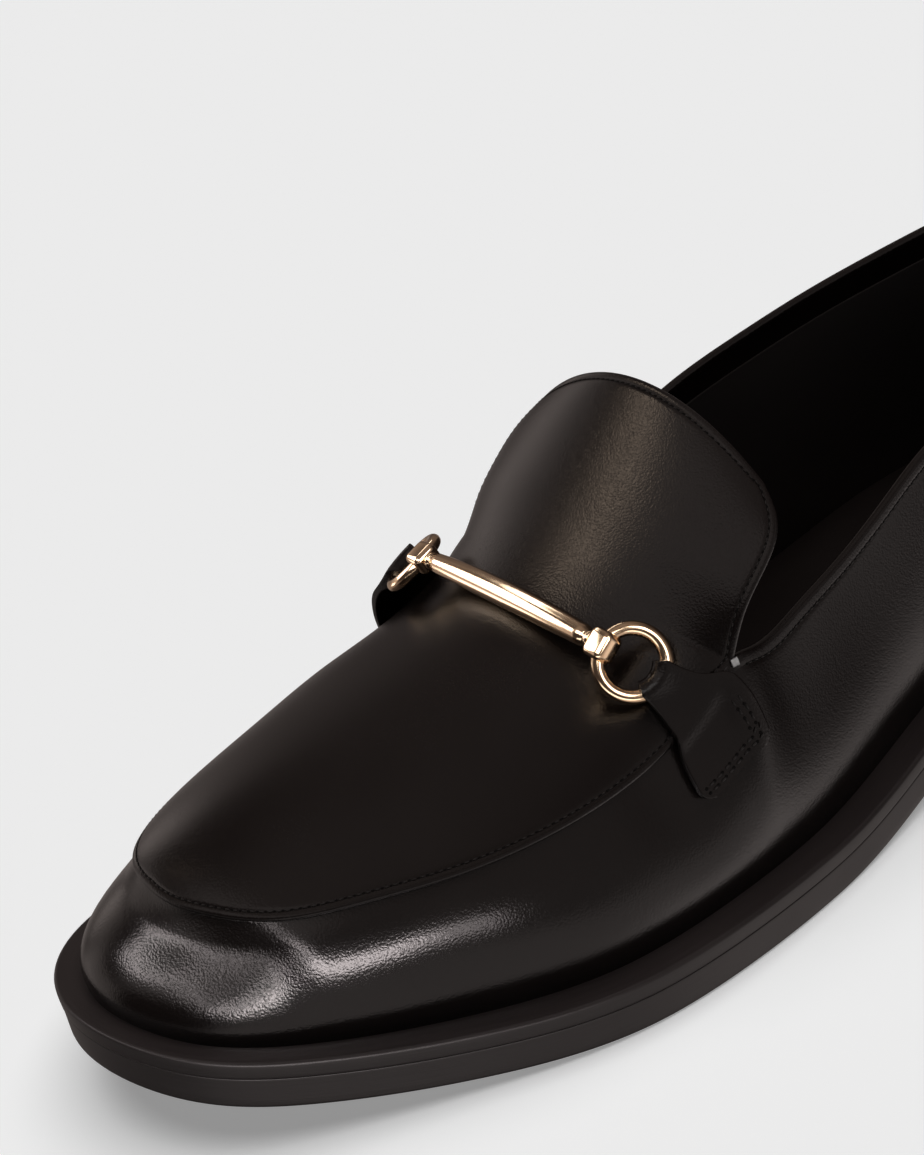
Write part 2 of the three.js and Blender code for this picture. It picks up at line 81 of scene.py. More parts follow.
APRON = [  # outer x, along, z, inner x, along, z, crest along, z, arc
    (-0.0481, 0.0693, 0.427, -0.0481, 0.0693, 0.427, 0.0693, 0.427, 45),
    (0.1039, 0.0818, 0.427, -0.19, 0.0861, 0.4176, 0.0839, 0.4626, 45),
    (0.2163, 0.1109, 0.427, -0.2771, 0.1204, 0.4009, 0.1168, 0.5053, 45),
    (0.2862, 0.1555, 0.427, -0.3409, 0.1679, 0.395, 0.1642, 0.5362, 46),
    (0.344, 0.2077, 0.4259, -0.3916, 0.2226, 0.4033, 0.219, 0.5552, 48),
    (0.3713, 0.2591, 0.4259, -0.423, 0.2737, 0.4199, 0.2737, 0.5765, 50),
    (0.3723, 0.3157, 0.4294, -0.4271, 0.3212, 0.4389, 0.3175, 0.6002, 58),
    (0.3632, 0.3562, 0.4484, -0.423, 0.3577, 0.4674, 0.3431, 0.624, 64),
    (0.3642, 0.3861, 0.4982, -0.4169, 0.3869, 0.5101, 0.3595, 0.6501, 68),
    (0.3673, 0.4146, 0.5611, -0.4129, 0.4146, 0.5694, 0.3759, 0.688, 70)]
TONGUE = [
    (0.3703, 0.427, 0.6501, -0.4129, 0.427, 0.6501, 0.3978, 0.7473, 66),
    (0.3713, 0.4434, 0.7117, -0.4108, 0.4434, 0.7117, 0.4197, 0.8161, 60),
    (0.3673, 0.4591, 0.7639, -0.4027, 0.4591, 0.7639, 0.4409, 0.8849, 52),
    (0.345, 0.4704, 0.8066, -0.3804, 0.4704, 0.8066, 0.4599, 0.949, 46),
    (0.3014, 0.4777, 0.8493, -0.3369, 0.4777, 0.8493, 0.4752, 1, 40)]
COLLAR = [  # x, along, z
    (0.3632, 0.438, 0.5563), (0.3531, 0.4752, 0.5789), (0.3399, 0.5237, 0.6251),
    (0.3288, 0.5682, 0.6845), (0.3197, 0.6055, 0.7367), (0.3095, 0.6606, 0.7782),
    (0.2943, 0.7336, 0.8138), (0.266, 0.8139, 0.8458), (0.2102, 0.8978, 0.8814),
    (0.1039, 0.9507, 0.9087), (-0.0177, 0.9672, 0.9205), (-0.1393, 0.9507, 0.9087),
    (-0.2457, 0.8978, 0.8873), (-0.3034, 0.8047, 0.8541), (-0.3369, 0.735, 0.8185),
    (-0.3521, 0.6606, 0.7794), (-0.3571, 0.5887, 0.7331), (-0.3723, 0.5328, 0.6619),
    (-0.3906, 0.4818, 0.5955), (-0.4048, 0.4416, 0.5647)]


def cubic(x, rows, period=0.0):
    """The cubic through rows of numbers at the places x, as a function of an array of places."""
    x, y = np.array(x, float), np.array(rows, float)
    n = len(x)
    h = np.append(np.diff(x), period + x[0] - x[-1])
    a, b = np.zeros((n, n)), np.zeros_like(y)
    for i in range(n):
        if not period and i in (0, n - 1):
            a[i, i] = 1
            continue
        p, q = (i - 1) % n, (i + 1) % n
        a[i, p] += h[p]
        a[i, i] += 2 * (h[p] + h[i])
        a[i, q] += h[i]
        b[i] = 6 * ((y[q] - y[i]) / h[i] - (y[i] - y[p]) / h[p])
    bend = np.linalg.solve(a, b)

    def at(t):
        t = np.asarray(t, float)
        if period:
            t = x[0] + (t - x[0]) % period
        i = np.clip(np.searchsorted(x, t, side="right") - 1, 0, n - 1 if period else n - 2)
        j = (i + 1) % n
        b = ((t - x[i]) / h[i])[..., None]
        c, k = 1 - b, (h[i] ** 2)[..., None] / 6
        return c * y[i] + b * y[j] + ((c ** 3 - c) * bend[i] + (b ** 3 - b) * bend[j]) * k
    return at


def vec(*v):
    return np.stack(np.broadcast_arrays(*[np.asarray(c, float) for c in v]), -1)


def unit(v):
    return v / np.linalg.norm(v, axis=-1, keepdims=True)


def smooth(t):
    t = np.clip(t, 0, 1)
    return t * t * (3 - 2 * t)


def along(y):
    return y / LENGTH + 0.5


def point(x, a, z):
    return (x * BALL, (a - 0.5) * LENGTH, z * RISE)


UP = np.array([0.0, 0.0, 1.0])


def underside(y):
    a = along(y)
    return (SPRING * np.clip((SPRING_END - a) / SPRING_END, 0, 1) ** 2
            + HEEL * smooth((a - ARCH[0]) / (ARCH[1] - ARCH[0])))


_corners = [point(r[1], r[0], 0) for r in OUTLINE]
_corners += [point(r[2], r[0], 0) for r in reversed(OUTLINE) if r[2] is not None]
_corners = np.array(_corners)
_chords = np.linalg.norm(_corners - np.roll(_corners, 1, 0), axis=1)
_plan = cubic(np.append(0, np.cumsum(_chords[1:])) / _chords.sum(), _corners, 1)


def edge(w, inset=0.0):
    """The edge of the sole at w, from the toe by the outer side round to 1, and the way out."""
    w = np.asarray(w, float)
    d = _plan(w + 1e-4) - _plan(w - 1e-4)
    out = unit(vec(d[..., 1], -d[..., 0], 0))
    return _plan(w) * [1, 1, 0] - out * np.asarray(inset)[..., None], out


_near = edge(np.arange(2000) / 2000)[0]


def way_to(p):
    return int(np.argmin(((_near[:, :2] - p[:2]) ** 2).sum(1))) / 2000


_outer_seam = [point(*r[:3]) for r in APRON]
_inner_seam = [point(*r[3:6]) for r in APRON]
_rim_points = _outer_seam + [point(*r) for r in COLLAR] + _inner_seam[:0:-1]
_rim_at = [way_to(p) for p in _rim_points]
_rim_at[0] -= _rim_at[0] > 0.5
rim = cubic(_rim_at, _rim_points, 1)
_outer_at = _rim_at[:len(APRON)]
_inner_at = [_rim_at[0] + 1] + _rim_at[:-len(APRON):-1]
THROAT_OUTER, THROAT_INNER = _outer_at[-1], _inner_at[-1]


def tucked(w):
    w = np.asarray(w, float) % 1
    return np.maximum(1 - smooth((w - THROAT_OUTER + 0.009) / 0.008),
                      smooth((w - THROAT_INNER - 0.001) / 0.008))


_side = cubic([r[0] for r in SIDE], [r[1:] for r in SIDE])


def side_top(w):
    p = rim(w)
    s = np.radians(_side(along(p[..., 1]))[..., 3])[..., None]
    out = edge(w)[1]
    face = out * np.sin(s) + UP * np.cos(s)
    return p - face * (LAP * tucked(w))[..., None], out * np.cos(s) - UP * np.sin(s), face


def side(w, v):
    """The side of the upper: w round the shoe, v from the sole (0) to the upper edge (1)."""
    w, v = np.broadcast_arrays(np.asarray(w, float), np.asarray(v, float))
    high, down, _ = side_top(w)
    _, lean, foot, _, head = np.moveaxis(_side(along(rim(w)[..., 1])), -1, 0)
    ledge = _side(np.clip(along(edge(w)[0][..., 1]), 0, 1))[..., 0]
    at, out = edge(w, ledge)
    at = at + UP * (underside(at[..., 1]) + SOLE + GAP)[..., None]
    size = np.linalg.norm(high - at, axis=-1)
    lean = np.radians(lean)
    one = at + out * (size * foot * np.sin(lean))[..., None] + UP * (size * foot * np.cos(lean))[...,
                                                                                                 None]
    two = high + down * (size * head)[..., None]
    v = v[..., None]
    c = 1 - v
    return c ** 3 * at + 3 * c * c * v * one + 3 * c * v * v * two + v ** 3 * high


def face_of(f, u, v, du, dv):
    return unit(np.cross(f(u + du, v) - f(u - du, v), f(u, v + dv) - f(u, v - dv)))


def side_face(w, v):
    return face_of(side, np.asarray(w, float), np.clip(v, 0.005, 0.995), 1e-3, 5e-3)


SEAMED, LAST = len(APRON) - 1, len(APRON) + len(TONGUE) - 1
_rows = np.arange(LAST + 1)
outer_way = cubic(_rows[:SEAMED + 1], [[w] for w in _outer_at])
inner_way = cubic(_rows[:SEAMED + 1], [[w] for w in _inner_at])
_crest = cubic(_rows, [point(0, r[6], r[7])[1:] + (r[8],) for r in APRON + TONGUE])
_free = [APRON[-1]] + TONGUE
_outer_free = cubic(_rows[SEAMED:], [point(*r[:3]) for r in _free])
_inner_free = cubic(_rows[SEAMED:], [point(*r[3:6]) for r in _free])


def ends(t):
    t = np.asarray(t, float)
    seam = (t <= SEAMED)[..., None]
    low = np.minimum(t, SEAMED)
    return (np.where(seam, rim(outer_way(low)[..., 0]), _outer_free(np.maximum(t, SEAMED))),
            np.where(seam, rim(inner_way(low)[..., 0]), _inner_free(np.maximum(t, SEAMED))))


EASED = ((-0.9, 1), (-0.6, 2), (-0.3, 3), (0, 4), (0.3, 3), (0.6, 2), (0.9, 1))


def eased_ends(t, s):
    """The two ends of a section. Away from the edge the corner at the throat is eased out of them."""
    exact = ends(t)
    near = smooth((t - 7.0) / 1.1) * (1 - smooth((t - 10.0) / 1.1)) * (1
                                                                       - smooth((np.abs(s) - 0.6) / 0.38))
    soft = [0, 0]
    for step, share in EASED:
        for k, end in enumerate(ends(np.clip(t + step, 0, LAST))):
            soft[k] = soft[k] + end * share / 16
    return [e + (f - e) * near[..., None] for e, f in zip(exact, soft)]


def top(t, s):
    """The top: t section by section from toe to tongue, s from inner (-1) to outer (1)."""
    t, s = np.broadcast_arrays(np.asarray(t, float), np.asarray(s, float))
    outer, inner = ends(t)
    y, z, arc = np.moveaxis(_crest(t), -1, 0)
    a = np.radians(arc)
    end = np.where((s >= 0)[..., None], outer, inner)
    low = np.where((s >= 0)[..., None], *eased_ends(t, s))
    fall = (1 - np.cos(s * a)) / (1 - np.cos(a))
    go = np.sin(np.abs(s) * a) / np.sin(a)
    mid = (outer[..., 0] + inner[..., 0]) / 2
    return vec(mid + (end[..., 0] - mid) * go, y + (low[..., 1] - y) * fall, z + (low[..., 2] - z) * fall)


def top_face(t, s):
    t = np.clip(t, 0.05, LAST - 0.02)
    return face_of(lambda a, b: top(b, a), np.asarray(s, float), t, 1e-3, 1e-2)

# Making a piece
CREASE = math.radians(50)


def lerp(a, b, t):
    return a + (b - a) * t


def drawn(name, at, finishes, uv=None, which=None):
    """A mesh from a grid: its corners go to the places at (rows x columns x 3, mm). Doubles are merged, so
    seams and poles close. uv is rows x columns x 2, and which gives the finish of each row of faces."""
    rows, cols = at.shape[:2]
    mesh = bmesh.new()
    bmesh.ops.create_grid(mesh, x_segments=cols - 1, y_segments=rows - 1, size=1)
    mesh.verts.index_update()
    flat = np.array([v.co[:2] for v in mesh.verts])
    col = np.rint((flat[:, 0] + 1) / 2 * (cols - 1)).astype(int)
    row = np.rint((flat[:, 1] + 1) / 2 * (rows - 1)).astype(int)
    layer = mesh.loops.layers.uv.new("run")
    for face in mesh.faces:
        face.smooth = True
        ids = [loop.vert.index for loop in face.loops]
        if which is not None:
            face.material_index = int(which[min(row[i] for i in ids)])
        if uv is not None:
            for loop, i in zip(face.loops, ids):
                loop[layer].uv = uv[row[i], col[i]]
    for vert, place in zip(mesh.verts, at[row, col] * MM):
        vert.co = place
    bmesh.ops.remove_doubles(mesh, verts=mesh.verts, dist=2e-6)
    bmesh.ops.holes_fill(mesh, edges=[e for e in mesh.edges if e.is_boundary], sides=0)
    return made(name, mesh, finishes)


def made(name, mesh, finishes):
    """The bmesh as an object that rides with the shoe, smooth but for its sharp corners."""
    bmesh.ops.recalc_face_normals(mesh, faces=mesh.faces)
    for face in mesh.faces:
        face.smooth = True
    for side_line in mesh.edges:
        side_line.smooth = not side_line.is_manifold or side_line.calc_face_angle() < CREASE
    data = bpy.data.meshes.new(name)
    mesh.to_mesh(data)
    mesh.free()
    piece = bpy.data.objects.new(name, data)
    bpy.context.scene.collection.objects.link(piece)
    for finish in finishes:
        data.materials.append(finish)
    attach(piece, "root")
    return piece


def closed(points, axis=0):
    """The same points with the first one again at the end."""
    return np.concatenate([points, np.take(points, [0], axis)], axis)


def lengths(points):
    """How far along a line of points each one is, in mm."""
    return np.append(0, np.cumsum(np.linalg.norm(np.diff(points, axis=0), axis=1)))


def spaced(value, at, count):
    """The values of a line's parameter where it is cut in equal steps."""
    return np.interp(np.linspace(0, at[-1], count), at, value)

# Finishes
class Value:
    """A socket that takes part in sums, so that shader maths reads as Python."""

    def __init__(self, tree, socket):
        self.tree, self.socket = tree, socket

    def sum(self, operation, *others):
        node = self.tree.nodes.new("ShaderNodeMath")
        node.operation = operation
        for slot, item in zip(node.inputs, (self, *others)):
            if isinstance(item, Value):
                self.tree.links.new(slot, item.socket)
            else:
                slot.default_value = item
        return Value(self.tree, node.outputs[0])

    def __add__(self, other):
        return self.sum("ADD", other)

    def __mul__(self, other):
        return self.sum("MULTIPLY", other)

    def __sub__(self, other):
        return self.sum("SUBTRACT", other)

    def __rsub__(self, other):
        return (self * -1).sum("ADD", other)

    def __truediv__(self, other):
        return self.sum("DIVIDE", other)

    def __pow__(self, other):
        return self.sum("POWER", other)

    __radd__ = __add__
    __rmul__ = __mul__

    def between(self, low, high):
        """0 under low, 1 over high."""
        return ((self - low) / (high - low)).sum("MAXIMUM", 0.0).sum("MINIMUM", 1.0)


class Finish:
    """A material being mixed: its nodes come from one method."""

    def __init__(self, name):
        self.material = bpy.data.materials.new(name)
        self.material.use_nodes = True
        self.tree = self.material.node_tree
        self.tree.nodes.clear()
        self.coat = self.node("ShaderNodeBsdfPrincipled")
        self.out = self.node("ShaderNodeOutputMaterial", {}, {"Surface": self.coat.outputs["BSDF"]})
        places = self.node("ShaderNodeTexCoord")
        self.place, self.uv = places.outputs["Object"], places.outputs["UV"]

    def node(self, kind, settings=None, sockets=None):
        node = self.tree.nodes.new(kind)
        for key, value in (settings or {}).items():
            if key == "stops":
                ramp = node.color_ramp
                while len(ramp.elements) < len(value):
                    ramp.elements.new(0.5)
                for stop, (at, shade) in zip(ramp.elements, value):
                    stop.position, stop.color = at, shade
            else:
                setattr(node, key, value)
        for key, value in (sockets or {}).items():
            self.give(node.inputs[key], value)
        return node

    def give(self, slot, value):
        value = value.socket if isinstance(value, Value) else value
        if isinstance(value, bpy.types.NodeSocket):
            self.tree.links.new(slot, value)
        else:
            slot.default_value = value

    def value(self, kind, settings, sockets, output=0):
        return Value(self.tree, self.node(kind, settings, sockets).outputs[output])

    def scaled(self, vector, by):
        return self.node("ShaderNodeMapping", {}, {"Vector": vector, "Scale": by}).outputs[0]

    def noise(self, scale, detail=2.0, rough=0.5, at=None):
        return self.value("ShaderNodeTexNoise", {},
                          {"Vector": at or self.place, "Scale": scale, "Detail": detail,
                           "Roughness": rough})

    def cells(self, scale, feature="F1", at=None, jitter=1.0):
        return self.value("ShaderNodeTexVoronoi", {"feature": feature},
                          {"Vector": at or self.place, "Scale": scale, "Randomness": jitter})

    def shade(self, mask, low, high):
        node = self.node("ShaderNodeMix", {"data_type": "RGBA"})
        self.give(node.inputs[0], mask)
        node.inputs[6].default_value, node.inputs[7].default_value = low, high
        return node.outputs[2]

    def bump(self, height, distance, strength=1.0, under=None):
        sockets = {"Height": height, "Distance": distance, "Strength": strength}
        if under is not None:
            sockets["Normal"] = under
        return self.node("ShaderNodeBump", {}, sockets).outputs[0]

    def finish(self, **sockets):
        for key, value in sockets.items():
            self.give(self.coat.inputs[key.replace("_", " ")], value)
        return self.material


def calf_leather(name, pebble, grain, rough):
    f = Finish(name)
    warp = f.node("ShaderNodeTexNoise", {}, {"Vector": f.place, "Scale": 420.0, "Detail": 1.0})
    bent = f.node("ShaderNodeVectorMath", {"operation": "MULTIPLY_ADD"})
    f.give(bent.inputs[0], warp.outputs["Color"])
    bent.inputs[1].default_value = (0.0008,) * 3
    f.give(bent.inputs[2], f.place)
    cells = f.cells(1 / (pebble * MM), "SMOOTH_F1", bent.outputs[0])
    fine = f.noise(2600.0, 3.0, 0.6)
    broad = f.noise(34.0, 3.0, 0.55)
    relief = cells * -0.8 + fine * 0.35
    lift = f.bump(relief, grain * MM)
    return f.finish(Base_Color=f.shade(broad.between(0.35, 0.7), (0.0042, 0.0026, 0.0022, 1),
                                       (0.0062, 0.0042, 0.0037, 1)),
                    Roughness=rough + (broad - 0.5) * 0.08 + (fine - 0.5) * 0.08, Normal=lift,
                    Specular_IOR_Level=0.5)


def satin_rubber():
    f = Finish("rubber_edge")
    streaks = f.noise(1.0, 3.0, 0.6, f.scaled(f.uv, (60.0, 5200.0, 1.0)))
    broad = f.noise(60.0, 2.0)
    fine = f.noise(3200.0, 2.0)
    lift = f.bump(streaks * 0.7 + fine * 0.4, 0.02 * MM)
    return f.finish(Base_Color=f.shade(streaks.between(0.3, 0.75), (0.014, 0.0105, 0.0102, 1),
                                       (0.024, 0.0185, 0.018, 1)),
                    Roughness=0.42 + (broad - 0.5) * 0.15 + (streaks - 0.5) * 0.12, Normal=lift)


def matte_lining():
    f = Finish("lining_leather")
    fine = f.noise(1800.0, 3.0, 0.6)
    broad = f.noise(40.0, 2.0)
    return f.finish(Base_Color=f.shade(broad.between(0.3, 0.7), (0.0026, 0.0017, 0.0015, 1),
                                       (0.0042, 0.003, 0.0027, 1)),
                    Roughness=0.62 + (fine - 0.5) * 0.1, Normal=f.bump(fine, 0.03 * MM))


def rose_gold():
    f = Finish("gold_polished")
    haze = f.noise(900.0, 3.0, 0.6)
    return f.finish(Base_Color=f.shade(haze.between(0.3, 0.7), (0.87, 0.62, 0.40, 1),
                                       (0.92, 0.68, 0.45, 1)), Metallic=1.0,
                    Roughness=0.13 + (haze - 0.5) * 0.05, Normal=f.bump(haze, 0.004 * MM))


def sewing_thread(name, low, high, rough):
    f = Finish(name)
    twist = f.noise(2400.0, 2.0)
    return f.finish(Base_Color=f.shade(twist, low, high), Roughness=rough,
                    Normal=f.bump(twist, 0.05 * MM))


def pale_floor():
    f = Finish("floor_paper")
    paper = f.noise(300.0, 2.0)
    return f.finish(Base_Color=f.shade(paper, (0.805, 0.805, 0.805, 1), (0.815, 0.815, 0.815, 1)),
                    Roughness=1.0, Specular_IOR_Level=0.0,
                    Emission_Color=(1, 1, 1, 1), Emission_Strength=0.28)


wall_calf = calf_leather("wall_leather", 0.34, 0.032, 0.18)
calf = calf_leather("calf_leather", 0.34, 0.045, 0.25)
strap_calf = calf_leather("strap_leather", 0.42, 0.05, 0.25)
thread_black = sewing_thread("thread_black", (0.006, 0.005, 0.005, 1), (0.02, 0.017, 0.016, 1), 0.4)
# painted shade: near-black matte blobs stand in for the dark inside of each needle hole
painted_hole_shade = sewing_thread("painted_hole_shade", (0.0012, 0.001, 0.001, 1), (0.002, 0.0016, 0.0016, 1), 0.9)
thread_pale = sewing_thread("thread_pale", (0.45, 0.43, 0.42, 1), (0.75, 0.73, 0.72, 1), 0.35)
rubber = satin_rubber()
lining = matte_lining()
gold = rose_gold()

# The upper: the side
ROUND = 432  # corners round the shoe
TOP_LINE = {"row": 1.6, "groove": 0.12, "facing": 5.5, "step": 0.3}
TOE_HOLLOW = 0.85


def shoulder(w, v):
    """The side's place, a little hollow over the shoulder of the toe's wall."""
    at, face = side(w, v), side_face(w, v)
    out = unit(face * np.array([1, 1, 0]))
    share = smooth((-104 - at[:, 1]) / 8) * np.interp(v, (0, 0.35, 0.7, 0.77, 0.89, 1),
                                                      (0, 0.5, 1, 1, 0.45, 0))
    return at - out * (TOE_HOLLOW * share)[:, None]


def side_band():
    """One closed band: outside, folded or tucked upper margin, inside."""
    w = np.arange(ROUND + 1) / ROUND
    size = np.linalg.norm(side_top(w)[0] - side(w, 0.0), axis=1)
    tops, down, face = side_top(w)
    free = (1 - tucked(w))[:, None]
    rows = [side(w, 0.0) - UP * 0.45]
    for v in (0, 0.015, 0.035, 0.06, 0.09, 0.13, 0.18, 0.24, 0.3, 0.37, 0.44, 0.51, 0.58, 0.65, 0.7, 0.74,
              0.78):
        rows.append(shoulder(w, np.full(len(w), v)))
    for back in (5.6, 4.4, 3.4, 2.6, 2.1, 1.85, 1.6, 1.35, 1.1, 0.6, 0.25, 0):
        v = 1 - np.minimum(back / (1.05 * size), 0.2 * (0.4 + 0.6 * back / 5.6))
        sunk = TOP_LINE["groove"] * math.exp(-(((back - TOP_LINE["row"]) / 0.5) ** 2))
        rows.append(shoulder(w, v) - side_face(w, v) * sunk * free)
    inner = side(w, 1.0) - side_face(w, 1.0) * SKIN
    tuck = tops - down * LAP_WIDTH - face * 0.35
    under = tuck + face * (0.35 - SKIN)
    tucks = [lerp(tops, tuck, 0.3), lerp(tops, tuck, 0.65), tuck, lerp(tuck, under, 0.5), under,
             lerp(under, inner, 0.4), lerp(under, inner, 0.8)]
    for k in range(7):
        a = math.pi * (k + 1) / 8
        fold = lerp(tops, inner, (1 - math.cos(a)) / 2) - down * 0.85 * math.sin(a)
        rows.append(lerp(tucks[k], fold, free))
    for back in (0.3, 1.2, 2.6, 4.2, 5.2, TOP_LINE["facing"]):
        v = 1 - np.minimum(back / (1.05 * size), 0.2 * back / 5.6)
        rows.append(side(w, v) - side_face(w, v) * SKIN)
    first_lining = len(rows) - 1
    for back, deep in ((5.7, TOP_LINE["step"]), (7.5, TOP_LINE["step"])):
        v = 1 - np.minimum(back / (1.05 * size), 0.2 * back / 5.6)
        rows.append(side(w, v) - side_face(w, v) * (SKIN + deep * free))
    for v in (0.66, 0.56, 0.46, 0.36, 0.26, 0.16, 0.08, 0.03, 0):
        rows.append(side(w, v) - side_face(w, v) * (SKIN + 0.3 * free))
    rows[-1][:, 2] = rows[1][:, 2]
    at = closed(np.array(rows))
    around = np.broadcast_to(lengths(side(w, 0.5)), at.shape[:2])
    up = np.cumsum(np.append(0, np.linalg.norm(np.diff(at, axis=0), axis=2).mean(1)))
    which = [int(k >= first_lining) for k in range(len(at))]
    piece = drawn("side", at, [wall_calf, lining],
                  np.stack([around, np.broadcast_to(up[:, None], at.shape[:2])], -1) * MM, which)
    return piece


# The upper: apron and tongue, one plate
LIP = 0.6  # how round the plate's edge is
STITCH_IN = 1.5
BORDER = 190  # corners on each half of the plate's edge
SPINE_START = 1.1


def locate(x, y):
    """Where the top is over the plan: the section t and the place s across it."""
    low, high = np.zeros_like(x), np.full_like(x, float(LAST))
    for _ in range(34):
        t = (low + high) / 2
        s, lies = across(t, x)
        behind = lies < y
        low, high = np.where(behind, t, low), np.where(behind, high, t)
    return t, across(t, x)[0]


def across(t, x):
    """The place across the section t that lies over x, and how far along the shoe it is."""
    outer, inner = ends(t)
    mid = (outer[..., 0] + inner[..., 0]) / 2
    end = np.where((x >= mid)[..., None], outer, inner)
    along_y, _, arc = np.moveaxis(_crest(t), -1, 0)
    a = np.radians(arc)
    go = np.clip(np.abs(x - mid) / (np.abs(end[..., 0] - mid) + 1e-9), 0, 1)
    turn = np.arcsin(go * np.sin(a))
    s = np.where(x >= mid, 1, -1) * turn / a
    low = np.where((s >= 0)[..., None], *eased_ends(t, s))
    fall = (1 - np.cos(turn)) / (1 - np.cos(a))
    return s, along_y + (low[..., 1] - along_y) * fall


def border(count):
    """The plate's edge from the toe by the outer side to the middle of the tongue's top: t and |s|."""
    t = np.concatenate([np.linspace(0, LAST, 1400), np.full(400, float(LAST))])
    s = np.concatenate([np.ones(1400), np.linspace(1, 0, 400)])
    run = (lengths(top(t, s)) + lengths(top(t, -s))) / 2
    return spaced(t, run, count + 1), spaced(s, run, count + 1), run[-1]


def plate_edge(count):
    """The whole edge, outer half then inner half: t, s, the place, the way in and the face."""
    t, s, _ = border(count)
    t, s = np.append(t, t[-2:0:-1]), np.append(s, -s[-2:0:-1])
    p = top(t, s)
    ahead = unit(np.roll(p, -1, 0) - np.roll(p, 1, 0))
    face = top_face(np.clip(t, 0.2, LAST - 0.05), s * 0.999)
    return t, s, p, unit(np.cross(face, ahead)), face


def plate_at(edge_of, back, deep):
    """The plate's corners at some way back from its edge and some way down into the leather."""
    _, _, p, inward, face = edge_of
    if back < 0.02:
        return p - face * np.asarray(deep)[..., None]
    want = p + inward * back
    t, s = locate(want[:, 0], want[:, 1])
    return top(t, s) - top_face(t, s) * np.asarray(deep)[..., None]


def plate():
    edge_of = t, s, p, inward, face = plate_edge(BORDER)
    free = smooth((t - SEAMED + 0.2) / 0.35)
    thick = lerp(1.35, SKIN, free)
    inner_row = p + inward * 4.2
    t4, s4 = locate(inner_row[:, 0], inner_row[:, 1])
    # the middle line: each corner of the edge has its own place on it, and both halves share them
    half = (t4[:BORDER + 1] + np.append(t4[0], t4[:BORDER - 1:-1])) / 2
    corner = int(np.argmax(t[:BORDER + 1] > LAST - 0.01))
    low = np.sqrt(half ** 2 + SPINE_START ** 2) - 0.9 * smooth((half - 11.2) / (half[corner] - 11.2))
    late = np.clip((np.arange(BORDER + 1) - corner) / (BORDER - corner), 0, 1)
    line = np.where(late > 0, lerp(low[corner], half[-1] - 0.12, late), low)
    line = np.maximum.accumulate(line)
    spine = np.append(line, line[-2:0:-1])
    full = np.zeros(len(t))
    rows = []
    for k in np.linspace(1, 0, 12):
        tt, ss = lerp(t4, spine, k), s4 * (1 - k)
        rows.append(top(tt, ss) - top_face(tt, ss) * SKIN)
    for back in (2.6, 1.4):
        rows.append(plate_at(edge_of, back, lerp(1.8, SKIN, free)))
    lining_rows = len(rows)
    for a in np.radians((0, 30, 60, 90)):
        rows.append(plate_at(edge_of, LIP * (1 - math.sin(a)), thick - LIP * (1 - math.cos(a))))
    for a in np.radians((0, 18, 36, 54, 72, 90)):
        rows.append(plate_at(edge_of, LIP * (1 - math.cos(a)), full + LIP * (1 - math.sin(a))))
    for back in (0.8, 1.0, 1.2, 1.4, 1.6, 1.8, 2.0, 2.3, 2.7, 3.1, 3.6):
        rows.append(plate_at(edge_of, back, full + 0.14 * math.exp(-(((back - STITCH_IN) / 0.32) ** 2))))
    for k in np.linspace(0, 1, 30):
        tt, ss = lerp(t4, spine, k), s4 * (1 - k)
        rows.append(top(tt, ss))
    at = closed(np.array(rows), 1)
    around = lengths(at[lining_rows + 8])
    up = np.append(0, np.cumsum(np.linalg.norm(np.diff(at, axis=0), axis=2).mean(1)))
    uv = np.stack(np.broadcast_arrays(around[None], up[:, None]), -1) * MM
    return drawn("apron_and_tongue", at, [calf, lining], uv,
                 [int(k < lining_rows) for k in range(len(at))])


# Sewing
def sewn(name, at, ahead, face, sizes):
    """A row of stitches: raised thread with a near-black blob at each end, painted shade standing in for the
    needle hole. at, ahead and face are along the row.
    """
    step = np.linalg.norm(np.diff(at, axis=0), axis=1).mean()
    beside = np.cross(face, ahead)
    ball = bmesh.new()
    bmesh.ops.create_uvsphere(ball, u_segments=8, v_segments=5, radius=1)
    corners, sides = np.array([v.co for v in ball.verts]), len(ball.faces)
    bead = bpy.data.meshes.new(name + "_bead")
    ball.to_mesh(bead)
    ball.free()
    mesh = bmesh.new()
    for _ in range(2 * len(at)):
        mesh.from_mesh(bead)
    bpy.data.meshes.remove(bead)
    places = []
    for offset, (long, wide, high, sunk) in zip((0.5 * step, 0.0), sizes):
        middle = at + ahead * offset + face * (high - sunk)
        places.append(middle[:, None] + corners[:, :1] * (beside * wide)[:, None] + corners[:, 1:2]
                      * (face * high)[:, None]
                      + corners[:, 2:] * (ahead * long)[:, None])
    for vert, place in zip(mesh.verts, np.stack(places, 1).reshape(-1, 3) * MM):
        vert.co = place
    # every second blob carries the needle hole's painted shade
    for k, a_face in enumerate(mesh.faces):
        a_face.material_index = k // sides % 2
    return made(name, mesh, [thread_black, painted_hole_shade])


def ahead_of(p):
    return unit(np.gradient(p, axis=0))


